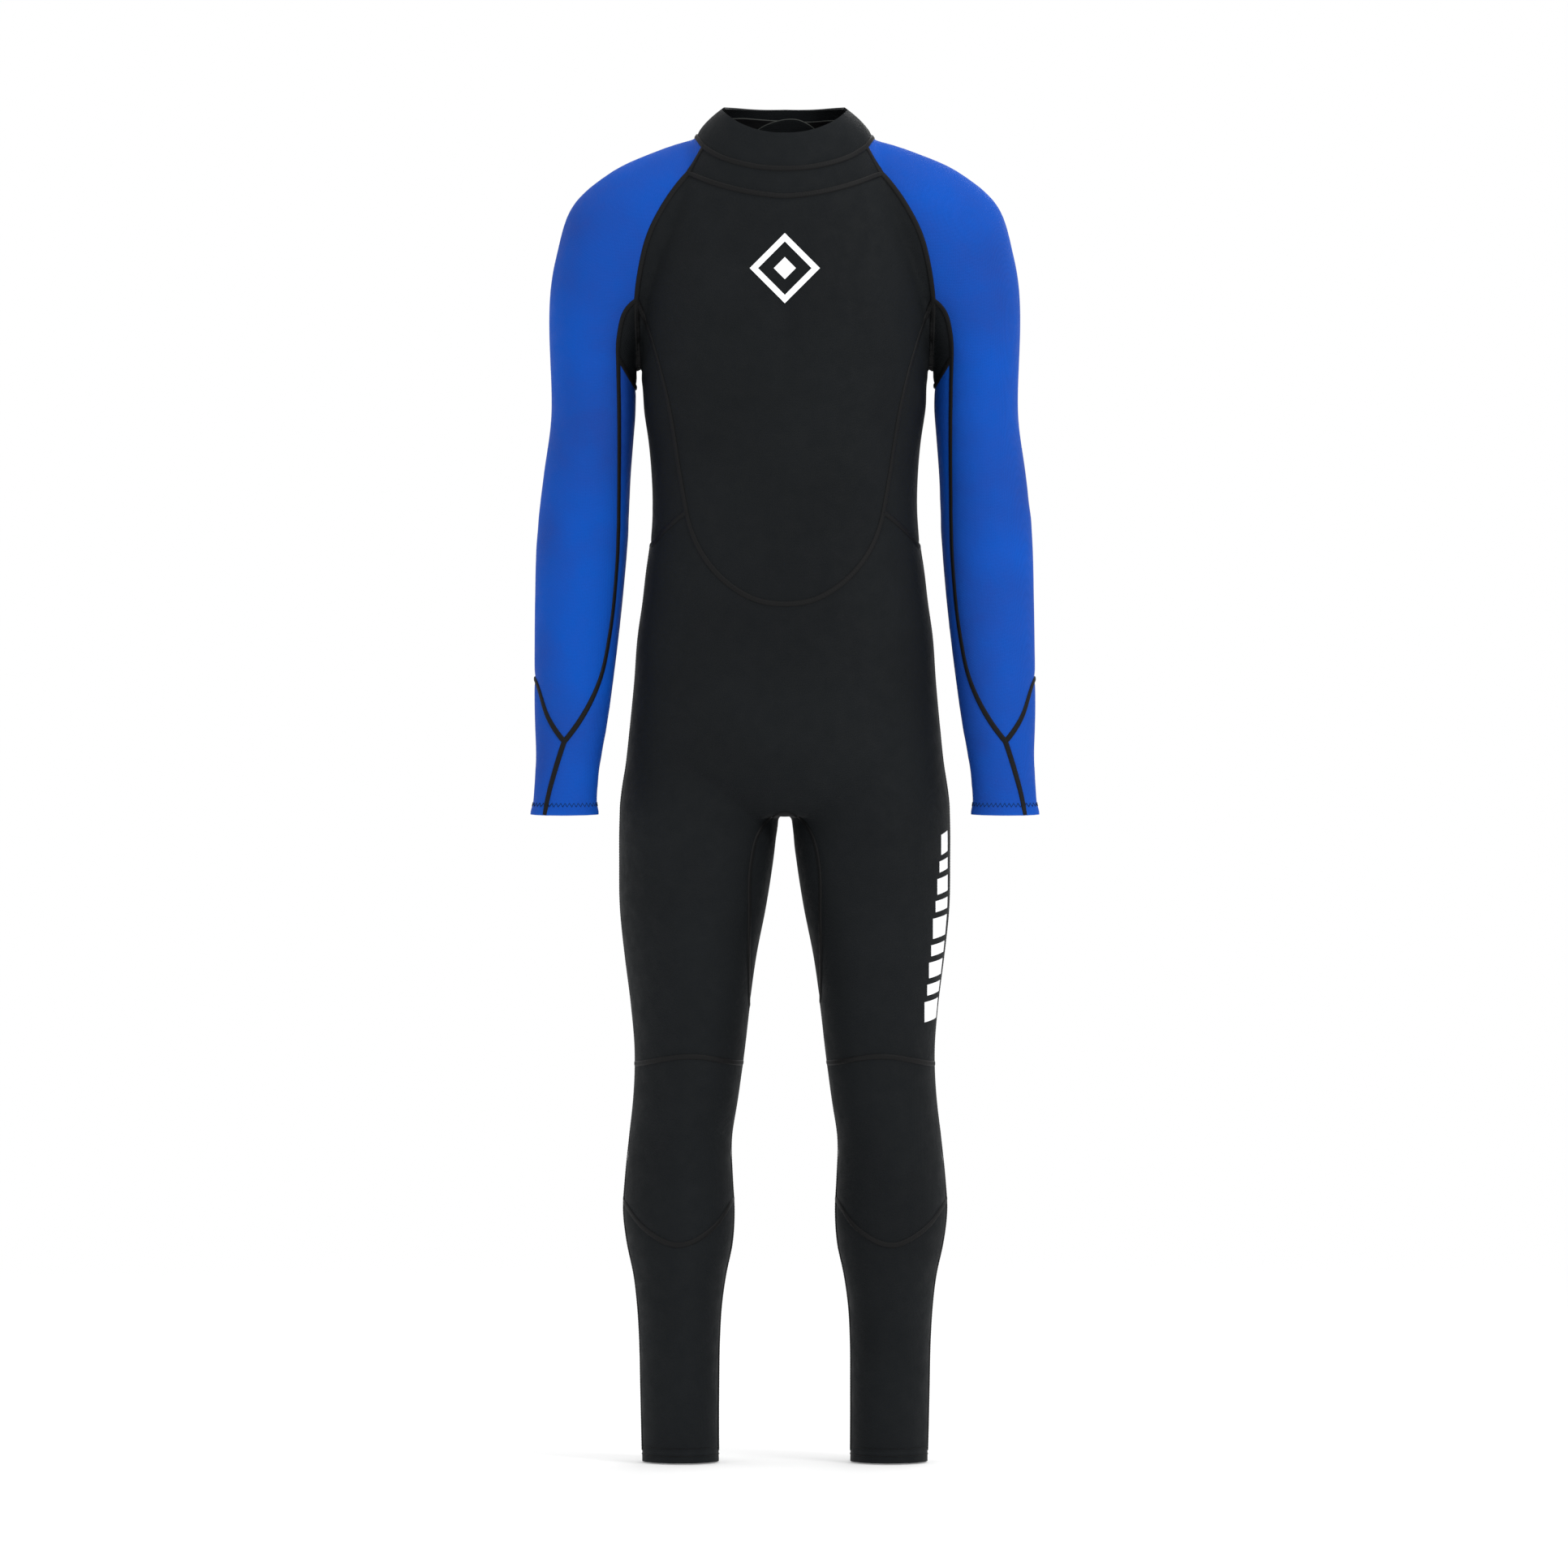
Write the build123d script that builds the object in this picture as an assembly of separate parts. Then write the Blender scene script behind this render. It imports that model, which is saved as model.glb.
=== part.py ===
from build123d import *

import math
import os

# A back-zip full wetsuit, as it hangs when it is filled out to the wearer's shape.
# Millimetres. +X is the wearer's left, -Y the wearer's front, +Z up.
# Heights in this file are measured from the ankle hems. The finished model is lowered by
# NECK_HEIGHT, so that the origin lies in the middle of the collar, where the suit is held.

NECK_HEIGHT = 1440.0
SKIN = 3.0  # neoprene thickness
SEAM = 0.6  # slit between two panels, filled by glue and flatlock thread on the real suit
FAR = 260.0  # further from the centre plane than any part of the body or legs
SIDE_SEAM_Y = 6.0  # depth of the side seams of the hips and legs
RING_POINTS = 16
TORSO_SQUARENESS = 2.35
LIMB_SQUARENESS = 2.0
PAST = 10.0  # how far the body runs beyond each opening before it is cut off
PARTS = "parts"

COLLAR_TOP = 1476.0
CUFF = 708.0

WRIST_HEM = 719.0  # heights of the plain cuts
ELBOW_TOP = 1087.0
ELBOW_BOTTOM = 973.0
ANKLE_HEM = 12.0
KNEE_BACK_BOTTOM = 287.0

ZIP_BOTTOM = 990.0
ZIP_TOP = 1412.0
ZIP_GAP = 14.0  # between the two back panels
ZIP_LEAN = -0.02  # forward lean of the back, mm per mm of height
ZIP_LENGTH = ZIP_TOP - ZIP_BOTTOM
ZIP_PLANE = Plane(
    (0, 105.9 + (ZIP_BOTTOM - 1007) * ZIP_LEAN, ZIP_BOTTOM),
    x_dir=(-1, 0, 0),
    z_dir=(0, 1, -ZIP_LEAN),
)
TOOTH_PITCH = 4.0
SLIDER_TOP = ZIP_LENGTH - 12  # along the zip from its bottom, with the zip closed
PIN = (SLIDER_TOP - 10, 3.9)  # along the zip, and above the skin
LEASH_HOLE = SLIDER_TOP - 51
FLAP_TOP = [(45, 1440), (32, 1457), (16, 1465), (-8, 1464), (-30, 1455), (-45, 1440)]

EMBLEM_Z = 1303.0
EMBLEM_SIZE = 38.0  # half its height
PRINT_BARS = [22, 12, 17, 12, 22, 12, 17, 12, 22]  # heights of the bars printed on the thigh
PRINT_START = (152.0, 482.0)
PRINT_LEAN = 0.1

# height, half width, depth in front, depth behind
TORSO = [
    (706, 132, 62, 74),
    (742, 165, 90, 108),
    (770, 170, 97, 118),
    (798, 169, 100, 122),
    (850, 164, 104, 124),
    (902, 160, 106, 119),
    (937, 155, 106, 112),
    (972, 151, 105, 108),
    (1007, 146, 104, 105.9),
    (1042, 144, 104, 105.2),
    (1077, 145, 105, 104.5),
    (1112, 148, 107, 103.8),
    (1147, 153, 110, 103.1),
    (1182, 155, 113, 102.4),
    (1220, 157, 114, 101.6),
    (1252, 157, 113, 101),
    (1290, 155, 107, 100.2),
    (1322, 149, 100, 99.6),
    (1350, 140, 93, 99),
    (1370, 131, 88, 98.6),
    (1392, 120, 83, 98.2),
    (1412, 110, 80, 97.9),
    (1432, 100, 77, 92),
    (1454, 90, 73, 84),
    (1476, 74, 70, 76),
]
# height, distance from the centre plane, half width, middle of the depth, half depth
LEG = [
    (0, 113.5, 42, 12, 47),
    (30, 114, 42.3, 11.5, 47.5),
    (56, 114.4, 42.7, 10.8, 48.2),
    (82, 114.8, 43, 10, 49),
    (134, 115, 44, 10, 52),
    (169, 115, 46, 10, 55),
    (204, 114.5, 50.5, 11, 60),
    (239, 114.5, 58, 12, 64),
    (274, 115.5, 61, 11, 66),
    (309, 115.5, 59, 9, 65),
    (353, 114, 56, 4, 62),
    (396, 108.5, 57, -2, 62),
    (449, 104, 59.5, -2, 66),
    (501, 103, 64.5, -1, 71),
    (553, 102.5, 71.5, 0, 78),
    (606, 100, 79.5, 2, 85),
    (658, 96.5, 84, 4, 91),
    (700, 94, 86.5, 6, 94),
    (742, 91, 87, 8, 92),
    (780, 88, 83, 8, 84),
    (802, 83, 74, 8, 72),
]
# outer point (x, height), inner point (x, height), middle of the depth, half depth
SLEEVE = [
    ((78, 1437), (60, 1290), 8, 58),
    ((143, 1424), (108, 1265), 8, 62),
    ((190, 1406), (134, 1245), 8, 64),
    ((231, 1370), (147, 1226), 8, 62),
    ((250, 1312), (157, 1208), 8, 58),
    ((256, 1130), (164, 1130), 8, 51),
    ((263.5, 1077), (168, 1077), 8, 49),
    ((270.5, 1007), (171, 1007), 6, 47),
    ((272, 938), (177, 938), 0, 46),
    ((272.3, 885), (183, 885), -7, 43),
    ((272.5, 833), (189.5, 833), -14, 39),
    ((273, 780), (196, 780), -21, 35),
    ((274.5, 738), (201.5, 738), -27, 31),
    ((276, 708), (204, 708), -31, 31),
]

# Seams, seen from the front: (x, height) for the wearer's left, mirrored for the right.
COLLAR_FRONT = [(0, 1411), (45, 1416), (75, 1426), (89, 1435)]
COLLAR_BACK = [(0, 1426), (45, 1427), (75, 1430), (89, 1435)]
COLLAR_SIDE = [(89, 1435), (98, 1448), (112, 1480)]
COLLAR_RIM = [(0, 1450), (32, 1454), (55, 1464), (75, 1482)]
YOKE = [(0, 1381), (50, 1388), (85, 1398), (105.5, 1406)]
YOKE_SIDE = [(89, 1435), (105.5, 1406)]
RAGLAN = [(105.5, 1406), (132, 1370), (147, 1340), (157, 1300), (161, 1268)]
ARMPIT = [(161, 1268), (160.5, 1235), (159.5, 1205), (158.5, 1165)]
GUSSET = [(161, 1268), (173, 1256), (179, 1235), (181, 1206)]
GUSSET_TIP = [(181, 1206), (168, 1183), (158.5, 1165)]
SIDE = [(161, 1268), (147, 1230), (138, 1200), (126, 1150), (114, 1075), (107.5, 1038)]
WAIST = [(107.5, 1038), (128, 1021), (145, 1002), (165, 972)]
LAP = [(0, 939), (30, 943), (58, 958), (87, 988), (107.5, 1038)]
CROTCH = [(0, 711), (17, 703), (30, 684), (36.5, 655), (38, 600), (38.5, 500)]
KNEE_TOP = [(30, 433), (50, 437), (104, 446), (160, 436), (190, 428)]
KNEE_BOTTOM = [(40, 305), (56, 286), (76, 259), (116, 239), (156, 259), (176, 284), (192, 304)]
SLEEVE_INNER = [(181, 1206), (180, 1080), (183, 970), (190, 905), (201, 854), (217, 820), (240, 788)]
SLEEVE_OUTER = [(285, 880), (271, 852), (257, 812), (240, 788)]
SLEEVE_STEM = [(240, 788), (250, 757), (259, 723), (264, 690)]
# A line that keeps between the body and the arm.
BESIDE_HIP = [(165, 972), (168, 938), (180, 850), (190, 770), (192, 690)]
BESIDE_CHEST = [(158.5, 1165), (165, 972)]


def signed_power(value, power):
    return math.copysign(abs(value) ** power, value)


def ring(plane, half_width, front, back, squareness):
    """A closed superellipse wire: local x across, local y towards the back."""
    points = []
    for step in range(RING_POINTS):
        angle = 2 * math.pi * step / RING_POINTS
        across = half_width * signed_power(math.cos(angle), 2 / squareness)
        depth = back if math.sin(angle) > 0 else front
        points.append((across, depth * signed_power(math.sin(angle), 2 / squareness)))
    spots = [Vector(*point) for point in points]
    evenly = [step / RING_POINTS for step in range(RING_POINTS + 1)]
    return plane * Wire([Edge.make_spline(spots, parameters=evenly, periodic=True)])


def level(height, x=0.0, y=0.0):
    return Plane((x, y, height), x_dir=(1, 0, 0), z_dir=(0, 0, 1))


def torso(inset):
    """The trunk and neck, made smaller by inset all round."""
    rings = []
    for height, half_width, front, back in TORSO:
        end = height + PAST if height == TORSO[-1][0] else height
        end = height + inset if height == TORSO[0][0] else end
        rings.append(
            ring(level(end), half_width - inset, front - inset, back - inset, TORSO_SQUARENESS)
        )
    return Solid.make_loft(rings)


def leg(inset):
    """The wearer's left leg, made smaller by inset all round."""
    rings = []
    for height, x, half_width, y, half_depth in LEG:
        end = height - PAST if height == LEG[0][0] else height
        depth = half_depth - inset
        rings.append(ring(level(end, x, y), half_width - inset, depth, depth, LIMB_SQUARENESS))
    return Solid.make_loft(rings)


def sleeve(inset):
    """The wearer's left arm and shoulder, made smaller by inset all round."""
    rings = []
    for outer, inner, y, half_depth in SLEEVE:
        drop = PAST if (outer, inner) == SLEEVE[-1][:2] else 0.0
        out = Vector(outer[0], y, outer[1] - drop)
        across = out - Vector(inner[0], y, inner[1] - drop)
        plane = Plane(
            out - across / 2, x_dir=across.normalized(), z_dir=across.cross(Vector(0, 1, 0))
        )
        if plane.y_dir.Y < 0:
            plane = Plane(plane.origin, x_dir=plane.x_dir, z_dir=-plane.z_dir)
        depth = half_depth - inset
        rings.append(ring(plane, across.length / 2 - inset, depth, depth, LIMB_SQUARENESS))
    return Solid.make_loft(rings)


def both_sides(*shapes):
    return [*shapes, *(shape.mirror(Plane.YZ) for shape in shapes)]


def body(inset):
    """The whole body: trunk, both legs and both sleeves in one solid."""
    return torso(inset).fuse(*both_sides(leg(inset), sleeve(inset)))


def block(x, y, z):
    """A box given by its limits along each axis."""
    return Solid.make_box(
        x[1] - x[0], y[1] - y[0], z[1] - z[0], Plane((x[0], y[0], z[0]))
    )


def curve(points):
    """An edge through (x, height) points in the plane of zero depth."""
    spots = [Vector(x, 0, z) for x, z in points]
    return Edge.make_line(*spots) if len(spots) == 2 else Edge.make_spline(spots)


def prism(edges, y):
    """The area enclosed by edges in the plane of zero depth, carried from depth y[0] to y[1]."""
    face = Face(Wire(edges)).moved(Location((0, y[0], 0)))
    return Solid.extrude(face, Vector(0, y[1] - y[0], 0))


def slit(points, y=(-FAR, FAR)):
    """A thin cut along a seam, SEAM wide, running a little past both of its ends."""
    sides = ([], [])
    last = len(points) - 1
    for index, (x, z) in enumerate(points):
        before, after = points[max(index - 1, 0)], points[min(index + 1, last)]
        length = math.dist(before, after)
        along = ((after[0] - before[0]) / length, (after[1] - before[1]) / length)
        past = SEAM / 2 * ((index == last) - (index == 0))
        for side, half in zip(sides, (SEAM / 2, -SEAM / 2)):
            side.append((x + past * along[0] - half * along[1], z + past * along[1] + half * along[0]))
    left, right = sides
    ends = [curve([left[0], right[0]]), curve([left[-1], right[-1]])]
    return prism([curve(left), ends[1], curve(right), ends[0]], y)


def mirrored(points):
    """A seam that crosses the centre plane: the wearer's right, then the left."""
    return [(-x, z) for x, z in reversed(points[1:])] + points


def chain(*runs):
    """Edges that follow runs of points end to end; a run given as a tuple is straight."""
    edges = []
    for run in runs:
        if isinstance(run, tuple):
            edges += [curve([a, b]) for a, b in zip(run, run[1:])]
        else:
            edges.append(curve(run))
    return edges


def across_body(middle, *runs):
    """A closed outline from a seam over the centre plane and the runs below it on each side."""
    left = chain(*runs)
    return [curve(mirrored(middle)), *left, *(edge.mirror(Plane.YZ) for edge in left)]


def hollow(surface):
    """One limb or the trunk alone, as a hollow shell."""
    return surface(0).cut(surface(SKIN))


def rim_trim():
    """What is cut away above the front of the collar."""
    top = 1500
    (x, height) = COLLAR_RIM[-1]
    return prism(across_body(COLLAR_RIM, ((x, height), (x, top), (0, top))), (-FAR, 4))


def skin():
    """The whole suit as one hollow shell, open at the neck, wrists and ankles."""
    return body(0).cut(body(SKIN), rim_trim())


def piece(shell, area, *slits):
    """The largest piece of a shell inside an area that has been cleared of slits."""
    clear = max(area.cut(*slits).solids(), key=lambda solid: solid.volume) if slits else area
    return max(shell.intersect(clear).solids(), key=lambda solid: solid.volume)


def trunk_panels(suit):
    """Panels that cross the centre plane, and the left one of those around the chest."""
    ahead, behind = (-FAR, 0), (0, FAR)
    above = block((-FAR, FAR), (-FAR, FAR), (COLLAR_TOP, 1600))
    collar_cuts = [above, *both_sides(slit(COLLAR_SIDE))]
    neck_cuts = [slit(mirrored(COLLAR_FRONT), ahead), slit(mirrored(COLLAR_BACK), behind)]
    yoke_cuts = both_sides(slit(YOKE_SIDE), slit(RAGLAN))
    chest_cuts = [slit(mirrored(YOKE), ahead), slit(mirrored(LAP)), *both_sides(slit(SIDE))]
    zip_gap = block((-ZIP_GAP / 2, ZIP_GAP / 2), behind, (ZIP_BOTTOM, 1500))
    centre = block((-SEAM / 2, SEAM / 2), behind, (900, 1500))
    over = [(112, 1480), (112, 1500), (0, 1500)]
    collar = prism(across_body(COLLAR_FRONT, COLLAR_SIDE, tuple(over)), ahead)
    collar += prism(across_body(COLLAR_BACK, COLLAR_SIDE, tuple(over)), behind)
    yoke = prism(across_body(COLLAR_FRONT, YOKE_SIDE) + [curve(mirrored(YOKE))], ahead)
    front = across_body(YOKE, RAGLAN, SIDE) + [curve(mirrored(LAP))]
    back = chain(COLLAR_BACK, YOKE_SIDE, RAGLAN, SIDE, LAP[::-1], ((0, 939), (0, 1426)))
    side = chain(SIDE, WAIST, tuple(reversed(BESIDE_CHEST)), ARMPIT[::-1])
    side_cuts = [slit(SIDE), slit(WAIST), slit(ARMPIT)]
    return {
        "collar": piece(suit, collar, *neck_cuts, *collar_cuts, centre),
        "neck_yoke": piece(suit, yoke, *neck_cuts, *yoke_cuts, *chest_cuts),
        "front_torso_panel": piece(suit, prism(front, ahead), *yoke_cuts, *chest_cuts),
        "left_upper_back": piece(
            suit, prism(back, behind), *neck_cuts, *yoke_cuts, *chest_cuts, centre, zip_gap
        ),
        "left_side_panel": piece(suit, prism(side, (-FAR, FAR)), *side_cuts),
    }


def lower_panels(suit):
    """The front and back panels below the waist, and the gusset between the legs."""
    ahead = (-FAR, SIDE_SEAM_Y - SEAM / 2)
    behind = (SIDE_SEAM_Y + SEAM / 2, FAR)
    outside = tuple([*BESIDE_HIP, (200, 600), KNEE_TOP[-1]])
    inside = (KNEE_TOP[0], CROTCH[-1])
    outline = across_body(LAP, WAIST, outside, KNEE_TOP[::-1], inside)
    outline.append(curve(mirrored(CROTCH)))
    crotch = slit(mirrored(CROTCH))
    cuts = [slit(mirrored(LAP)), crotch, *both_sides(slit(WAIST), slit(KNEE_TOP))]
    gusset = across_body(CROTCH, (CROTCH[-1], (0, CROTCH[-1][1])))
    return {
        "lower_front_panel": piece(suit, prism(outline, ahead), *cuts),
        "lower_back_panel": piece(suit, prism(outline, behind), *cuts),
        "crotch_gusset": piece(suit, prism(gusset, (-FAR, FAR)), crotch),
    }


def leg_panels():
    shell = hollow(leg)
    ahead = (-FAR, SIDE_SEAM_Y - SEAM / 2)
    behind = (SIDE_SEAM_Y + SEAM / 2, FAR)
    hem = ANKLE_HEM + SEAM / 2
    back = KNEE_BACK_BOTTOM
    outer, inner = KNEE_BOTTOM[-1], KNEE_BOTTOM[0]
    knee = chain(KNEE_TOP, (KNEE_TOP[-1], outer), KNEE_BOTTOM[::-1], (inner, KNEE_TOP[0]))
    over_shin = chain(KNEE_BOTTOM, (outer, (220, 330), (20, 330), inner))
    knee_back = chain(
        KNEE_TOP, (KNEE_TOP[-1], (190, back + SEAM / 2), (30, back + SEAM / 2), KNEE_TOP[0])
    )
    calf = block((30, 200), behind, (hem, back - SEAM / 2))
    top, bottom = slit(KNEE_TOP), slit(KNEE_BOTTOM)
    return {
        "left_knee_panel": piece(shell, prism(knee, ahead), top, bottom),
        "left_knee_back_panel": piece(shell, prism(knee_back, behind), top),
        "left_shin_panel": piece(
            shell, block((30, 200), ahead, (hem, 320)), prism(over_shin, ahead), bottom
        ),
        "left_calf_panel": piece(shell, calf),
        "left_ankle_hem": piece(shell, block((30, 200), (-FAR, FAR), (0, hem - SEAM))),
    }


def height_band(name, heights):
    """The three lengths of a sleeve panel: above, around and below the elbow."""
    parts = ("upper_arm", "elbow", "forearm")
    return {f"left_{part}_{name}": band for part, band in zip(parts, heights)}


def outside_of(band):
    return [(500, band[0]), (band[1], 1600)]


def arm_panels(suit):
    shell = hollow(sleeve)
    through = (-FAR, FAR)
    gap = SEAM / 2
    bands = [(ELBOW_TOP + gap, 1500), (ELBOW_BOTTOM + gap, ELBOW_TOP - gap)]
    bands.append((WRIST_HEM + gap, ELBOW_BOTTOM - gap))
    over = ((285, 880), (300, 900), (300, 1480), (112, 1480))
    outer = chain(COLLAR_SIDE[::-1], YOKE_SIDE, RAGLAN, GUSSET, SLEEVE_INNER)
    outer += chain(SLEEVE_OUTER[::-1], over)
    under = chain(GUSSET_TIP[::-1], SLEEVE_INNER, SLEEVE_STEM)
    under += chain(((264, 690), *BESIDE_HIP[::-1]), tuple(reversed(BESIDE_CHEST)))
    cuts = [slit(line) for line in (COLLAR_SIDE, YOKE_SIDE, RAGLAN, GUSSET, GUSSET_TIP)]
    cuts += [slit(line) for line in (SLEEVE_INNER, SLEEVE_OUTER, SLEEVE_STEM)]
    found = {}
    for name, outline in (("sleeve", outer), ("underside", under)):
        for key, band in height_band(name, bands).items():
            whole = suit if band is bands[0] else shell
            beyond = [block((80, 320), through, limit) for limit in outside_of(band)]
            found[key] = piece(whole, prism(outline, through), *cuts, *beyond)
    rest = chain(SLEEVE_OUTER, SLEEVE_STEM, ((264, 690), (300, 690), (300, 900), (285, 880)))
    found["left_forearm_outer_panel"] = piece(
        shell, prism(rest, through), *cuts, block((180, 320), through, (600, WRIST_HEM + gap))
    )
    gusset = prism(chain(GUSSET, GUSSET_TIP, ARMPIT[::-1]), through)
    found["left_underarm_gusset"] = piece(suit, gusset, *cuts, slit(ARMPIT))
    found["left_wrist_hem"] = piece(shell, block((180, 320), through, (CUFF, WRIST_HEM - gap)))
    return found


def panels():
    suit = skin()
    found = trunk_panels(suit) | lower_panels(suit) | leg_panels() | arm_panels(suit)
    for name in [name for name in found if name.startswith("left_")]:
        found[name.replace("left_", "right_")] = found[name].mirror(Plane.YZ)
    return found


def layer(surface, outer, inner, area):
    """The part of a thin layer, between two insets from the skin, that lies in an area."""
    return Compound(surface(outer).cut(surface(inner)).intersect(area).solids())


def on_zip(across, along, out):
    """A box by its limits across the zip, along it from the bottom, and outwards."""
    size = [limit[1] - limit[0] for limit in (across, along, out)]
    box = Solid.make_box(*size, Plane((across[0], along[0], out[0])))
    return ZIP_PLANE * box


def pin(radius, half_width):
    plane = Plane((-half_width, *PIN), z_dir=(1, 0, 0))
    return ZIP_PLANE * Solid.make_cylinder(radius, 2 * half_width, plane)


def teeth(side):
    """One row of teeth, clamped on its tape; side is 1 or -1 across the zip."""
    row = []
    across = sorted((-2.6 * side, 3.2 * side))
    start = 10.0 + (TOOTH_PITCH / 2 if side > 0 else 0)
    for step in range(int((ZIP_LENGTH - 16 - start) / TOOTH_PITCH)):
        low = start + step * TOOTH_PITCH
        row.append(on_zip(across, (low, low + TOOTH_PITCH / 2 - 0.3), (-3.6, -1.0)))
    return Compound(row)


def slider():
    low, high = SLIDER_TOP - 20, SLIDER_TOP
    solid = on_zip((-6.0, 6.0), (low, high), (-0.4, 1.6))
    for side in (1, -1):
        solid += on_zip(sorted((4.2 * side, 6.0 * side)), (low, high), (-3.4, -0.3))
        solid += on_zip(sorted((2.6 * side, 4.0 * side)), (PIN[0] - 4, PIN[0] + 4), (1.5, 5.2))
    return solid + pin(0.9, 2.7)


def pull_tab():
    solid = pin(2.2, 2.3) + on_zip((-2.3, 2.3), (PIN[0] - 9, PIN[0]), (3.1, 4.7))
    solid += on_zip((-6, 6), (LEASH_HOLE - 7, PIN[0] - 7), (3.1, 4.7))
    hole = Solid.make_cylinder(3.0, 10, Plane((0, LEASH_HOLE, 0)))
    return solid - pin(1.2, 3) - ZIP_PLANE * hole


def polygon(points):
    return [curve([a, b]) for a, b in zip(points, points[1:] + points[:1])]


def flap_area():
    """Where the flap behind the zip lies: its top is an arch inside the collar."""
    x, bottom, top = FLAP_TOP[0][0], ZIP_BOTTOM - 10, FLAP_TOP[0][1]
    edges = [*polygon([(-x, top), (-x, bottom), (x, bottom), (x, top)])[:3], curve(FLAP_TOP)]
    return prism(edges, (0, FAR))


def zip_parts():
    end = ZIP_LENGTH
    found = {
        "zip_slider": slider(),
        "pull_tab": pull_tab(),
        "zip_bottom_stop": on_zip((-3.2, 3.2), (3, 9), (-3.6, -1.0)),
        "zip_top_stops": Compound(
            [on_zip(sorted((0.4 * s, 3.2 * s)), (end - 5, end - 1), (-3.6, -1.0)) for s in (1, -1)]
        ),
        "zip_backing_flap": layer(torso, 5.5, 7.5, flap_area()),
    }
    for name, side in (("left", -1), ("right", 1)):
        found[f"{name}_zip_tape"] = on_zip(sorted((0.3 * side, 18 * side)), (-8, end), (-4.6, -3.8))
        found[f"{name}_zip_teeth"] = teeth(side)
    return found


def neck_parts():
    seal = layer(torso, 3.5, 5.0, block((-FAR, FAR), (-FAR, FAR), (1429, 1470)))
    slot = block((-SEAM / 2, SEAM / 2), (0, FAR), (1400, 1500))
    seal = seal.cut(rim_trim().moved(Location((0, 0, -8))), slot)
    back = (0, FAR)
    return {
        "neck_seal": seal,
        "collar_closure_tab": layer(torso, -5.0, -2.4, block((-34, 34), back, (1437, 1465))),
        "closure_hook_patch": layer(torso, -2.3, -1.3, block((-32, -4), back, (1439, 1463))),
        "closure_loop_patch": layer(torso, -1.2, -0.1, block((-33, 10), back, (1438, 1464))),
    }


def diamond(half):
    corners = [(0, half), (half, 0), (0, -half), (-half, 0)]
    return prism(polygon([(x, z + EMBLEM_Z) for x, z in corners]), (-FAR, 0))


def thigh_bars():
    bars = []
    x, z = PRINT_START
    for height in PRINT_BARS:
        lean = PRINT_LEAN * (z - PRINT_START[1])
        corners = [(x + lean, z), (FAR, z + 6), (FAR, z + 6 + height), (x + lean, z + height)]
        bars.append(prism(polygon(corners), (-FAR, -6)))
        z += height + 7
    return Compound(bars)


def prints():
    mark = Compound([diamond(EMBLEM_SIZE).cut(diamond(EMBLEM_SIZE - 9)), diamond(12)])
    return {
        "chest_emblem": layer(torso, -0.6, -0.1, mark),
        "left_thigh_print": layer(leg, -0.6, -0.1, thigh_bars()),
    }


def main():
    os.makedirs(PARTS, exist_ok=True)
    found = panels() | zip_parts() | neck_parts() | prints()
    for name, shape in found.items():
        solids = shape.solids()
        lowered = Compound(solids) if len(solids) > 1 else solids[0]
        lowered = lowered.moved(Location((0, 0, -NECK_HEIGHT)))
        lowered.label = name
        export_step(lowered, f"{PARTS}/{name}.step")


if __name__ == "__main__":
    main()
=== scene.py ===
import math

import bpy
import bmesh
import numpy as np
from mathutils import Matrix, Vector, bvhtree, kdtree


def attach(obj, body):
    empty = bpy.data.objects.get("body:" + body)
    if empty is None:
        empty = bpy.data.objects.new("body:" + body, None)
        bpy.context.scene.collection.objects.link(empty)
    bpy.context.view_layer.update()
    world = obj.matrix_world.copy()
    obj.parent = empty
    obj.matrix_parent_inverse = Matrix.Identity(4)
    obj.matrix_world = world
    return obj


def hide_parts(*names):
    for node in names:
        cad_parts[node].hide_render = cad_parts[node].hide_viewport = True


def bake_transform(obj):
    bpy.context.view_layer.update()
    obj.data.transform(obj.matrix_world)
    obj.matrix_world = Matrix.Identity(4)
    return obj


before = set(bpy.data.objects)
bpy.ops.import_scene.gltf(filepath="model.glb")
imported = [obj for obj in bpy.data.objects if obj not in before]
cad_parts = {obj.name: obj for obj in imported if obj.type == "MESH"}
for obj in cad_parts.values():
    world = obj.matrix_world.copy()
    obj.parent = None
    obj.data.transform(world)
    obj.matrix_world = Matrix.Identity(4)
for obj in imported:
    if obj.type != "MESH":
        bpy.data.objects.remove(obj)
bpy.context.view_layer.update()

# A back-zip full wetsuit. The stations and seams below repeat those of the CAD model, in
# millimetres and heights above the ankle hems. mm() turns them into the frame's metres.
NECK_HEIGHT = 1440.0
VOXEL = 0.0036  # size of the skin's faces, in metres like every length down to BAND_RISE
SKIN = 0.0027  # neoprene thickness shown
BAND_WIDTH = 0.0058  # flatlock seam
BAND_STEP = 0.001
BAND_RISE = 0.0005
LADDER = 3  # steps in each rung of the flatlock ladder
RING_POINTS = 72
ROW_STEP = 8  # between rings
FAR = 400  # beyond the suit's depth
SIDE_SEAM_Y = 6.0
RIM_END_Y = 4.0  # how far back the collar's front rim goes
WRIST_HEM, ANKLE_HEM, CUFF = 719.0, 12.0, 708.0
ELBOW = (1087.0, 973.0)
KNEE = (428.0, 306.0)
KNEE_BACK = 287.0
ZIP_BOTTOM, ZIP_TOP, ZIP_HALF_GAP = 990.0, 1412.0, 7.0

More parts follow.
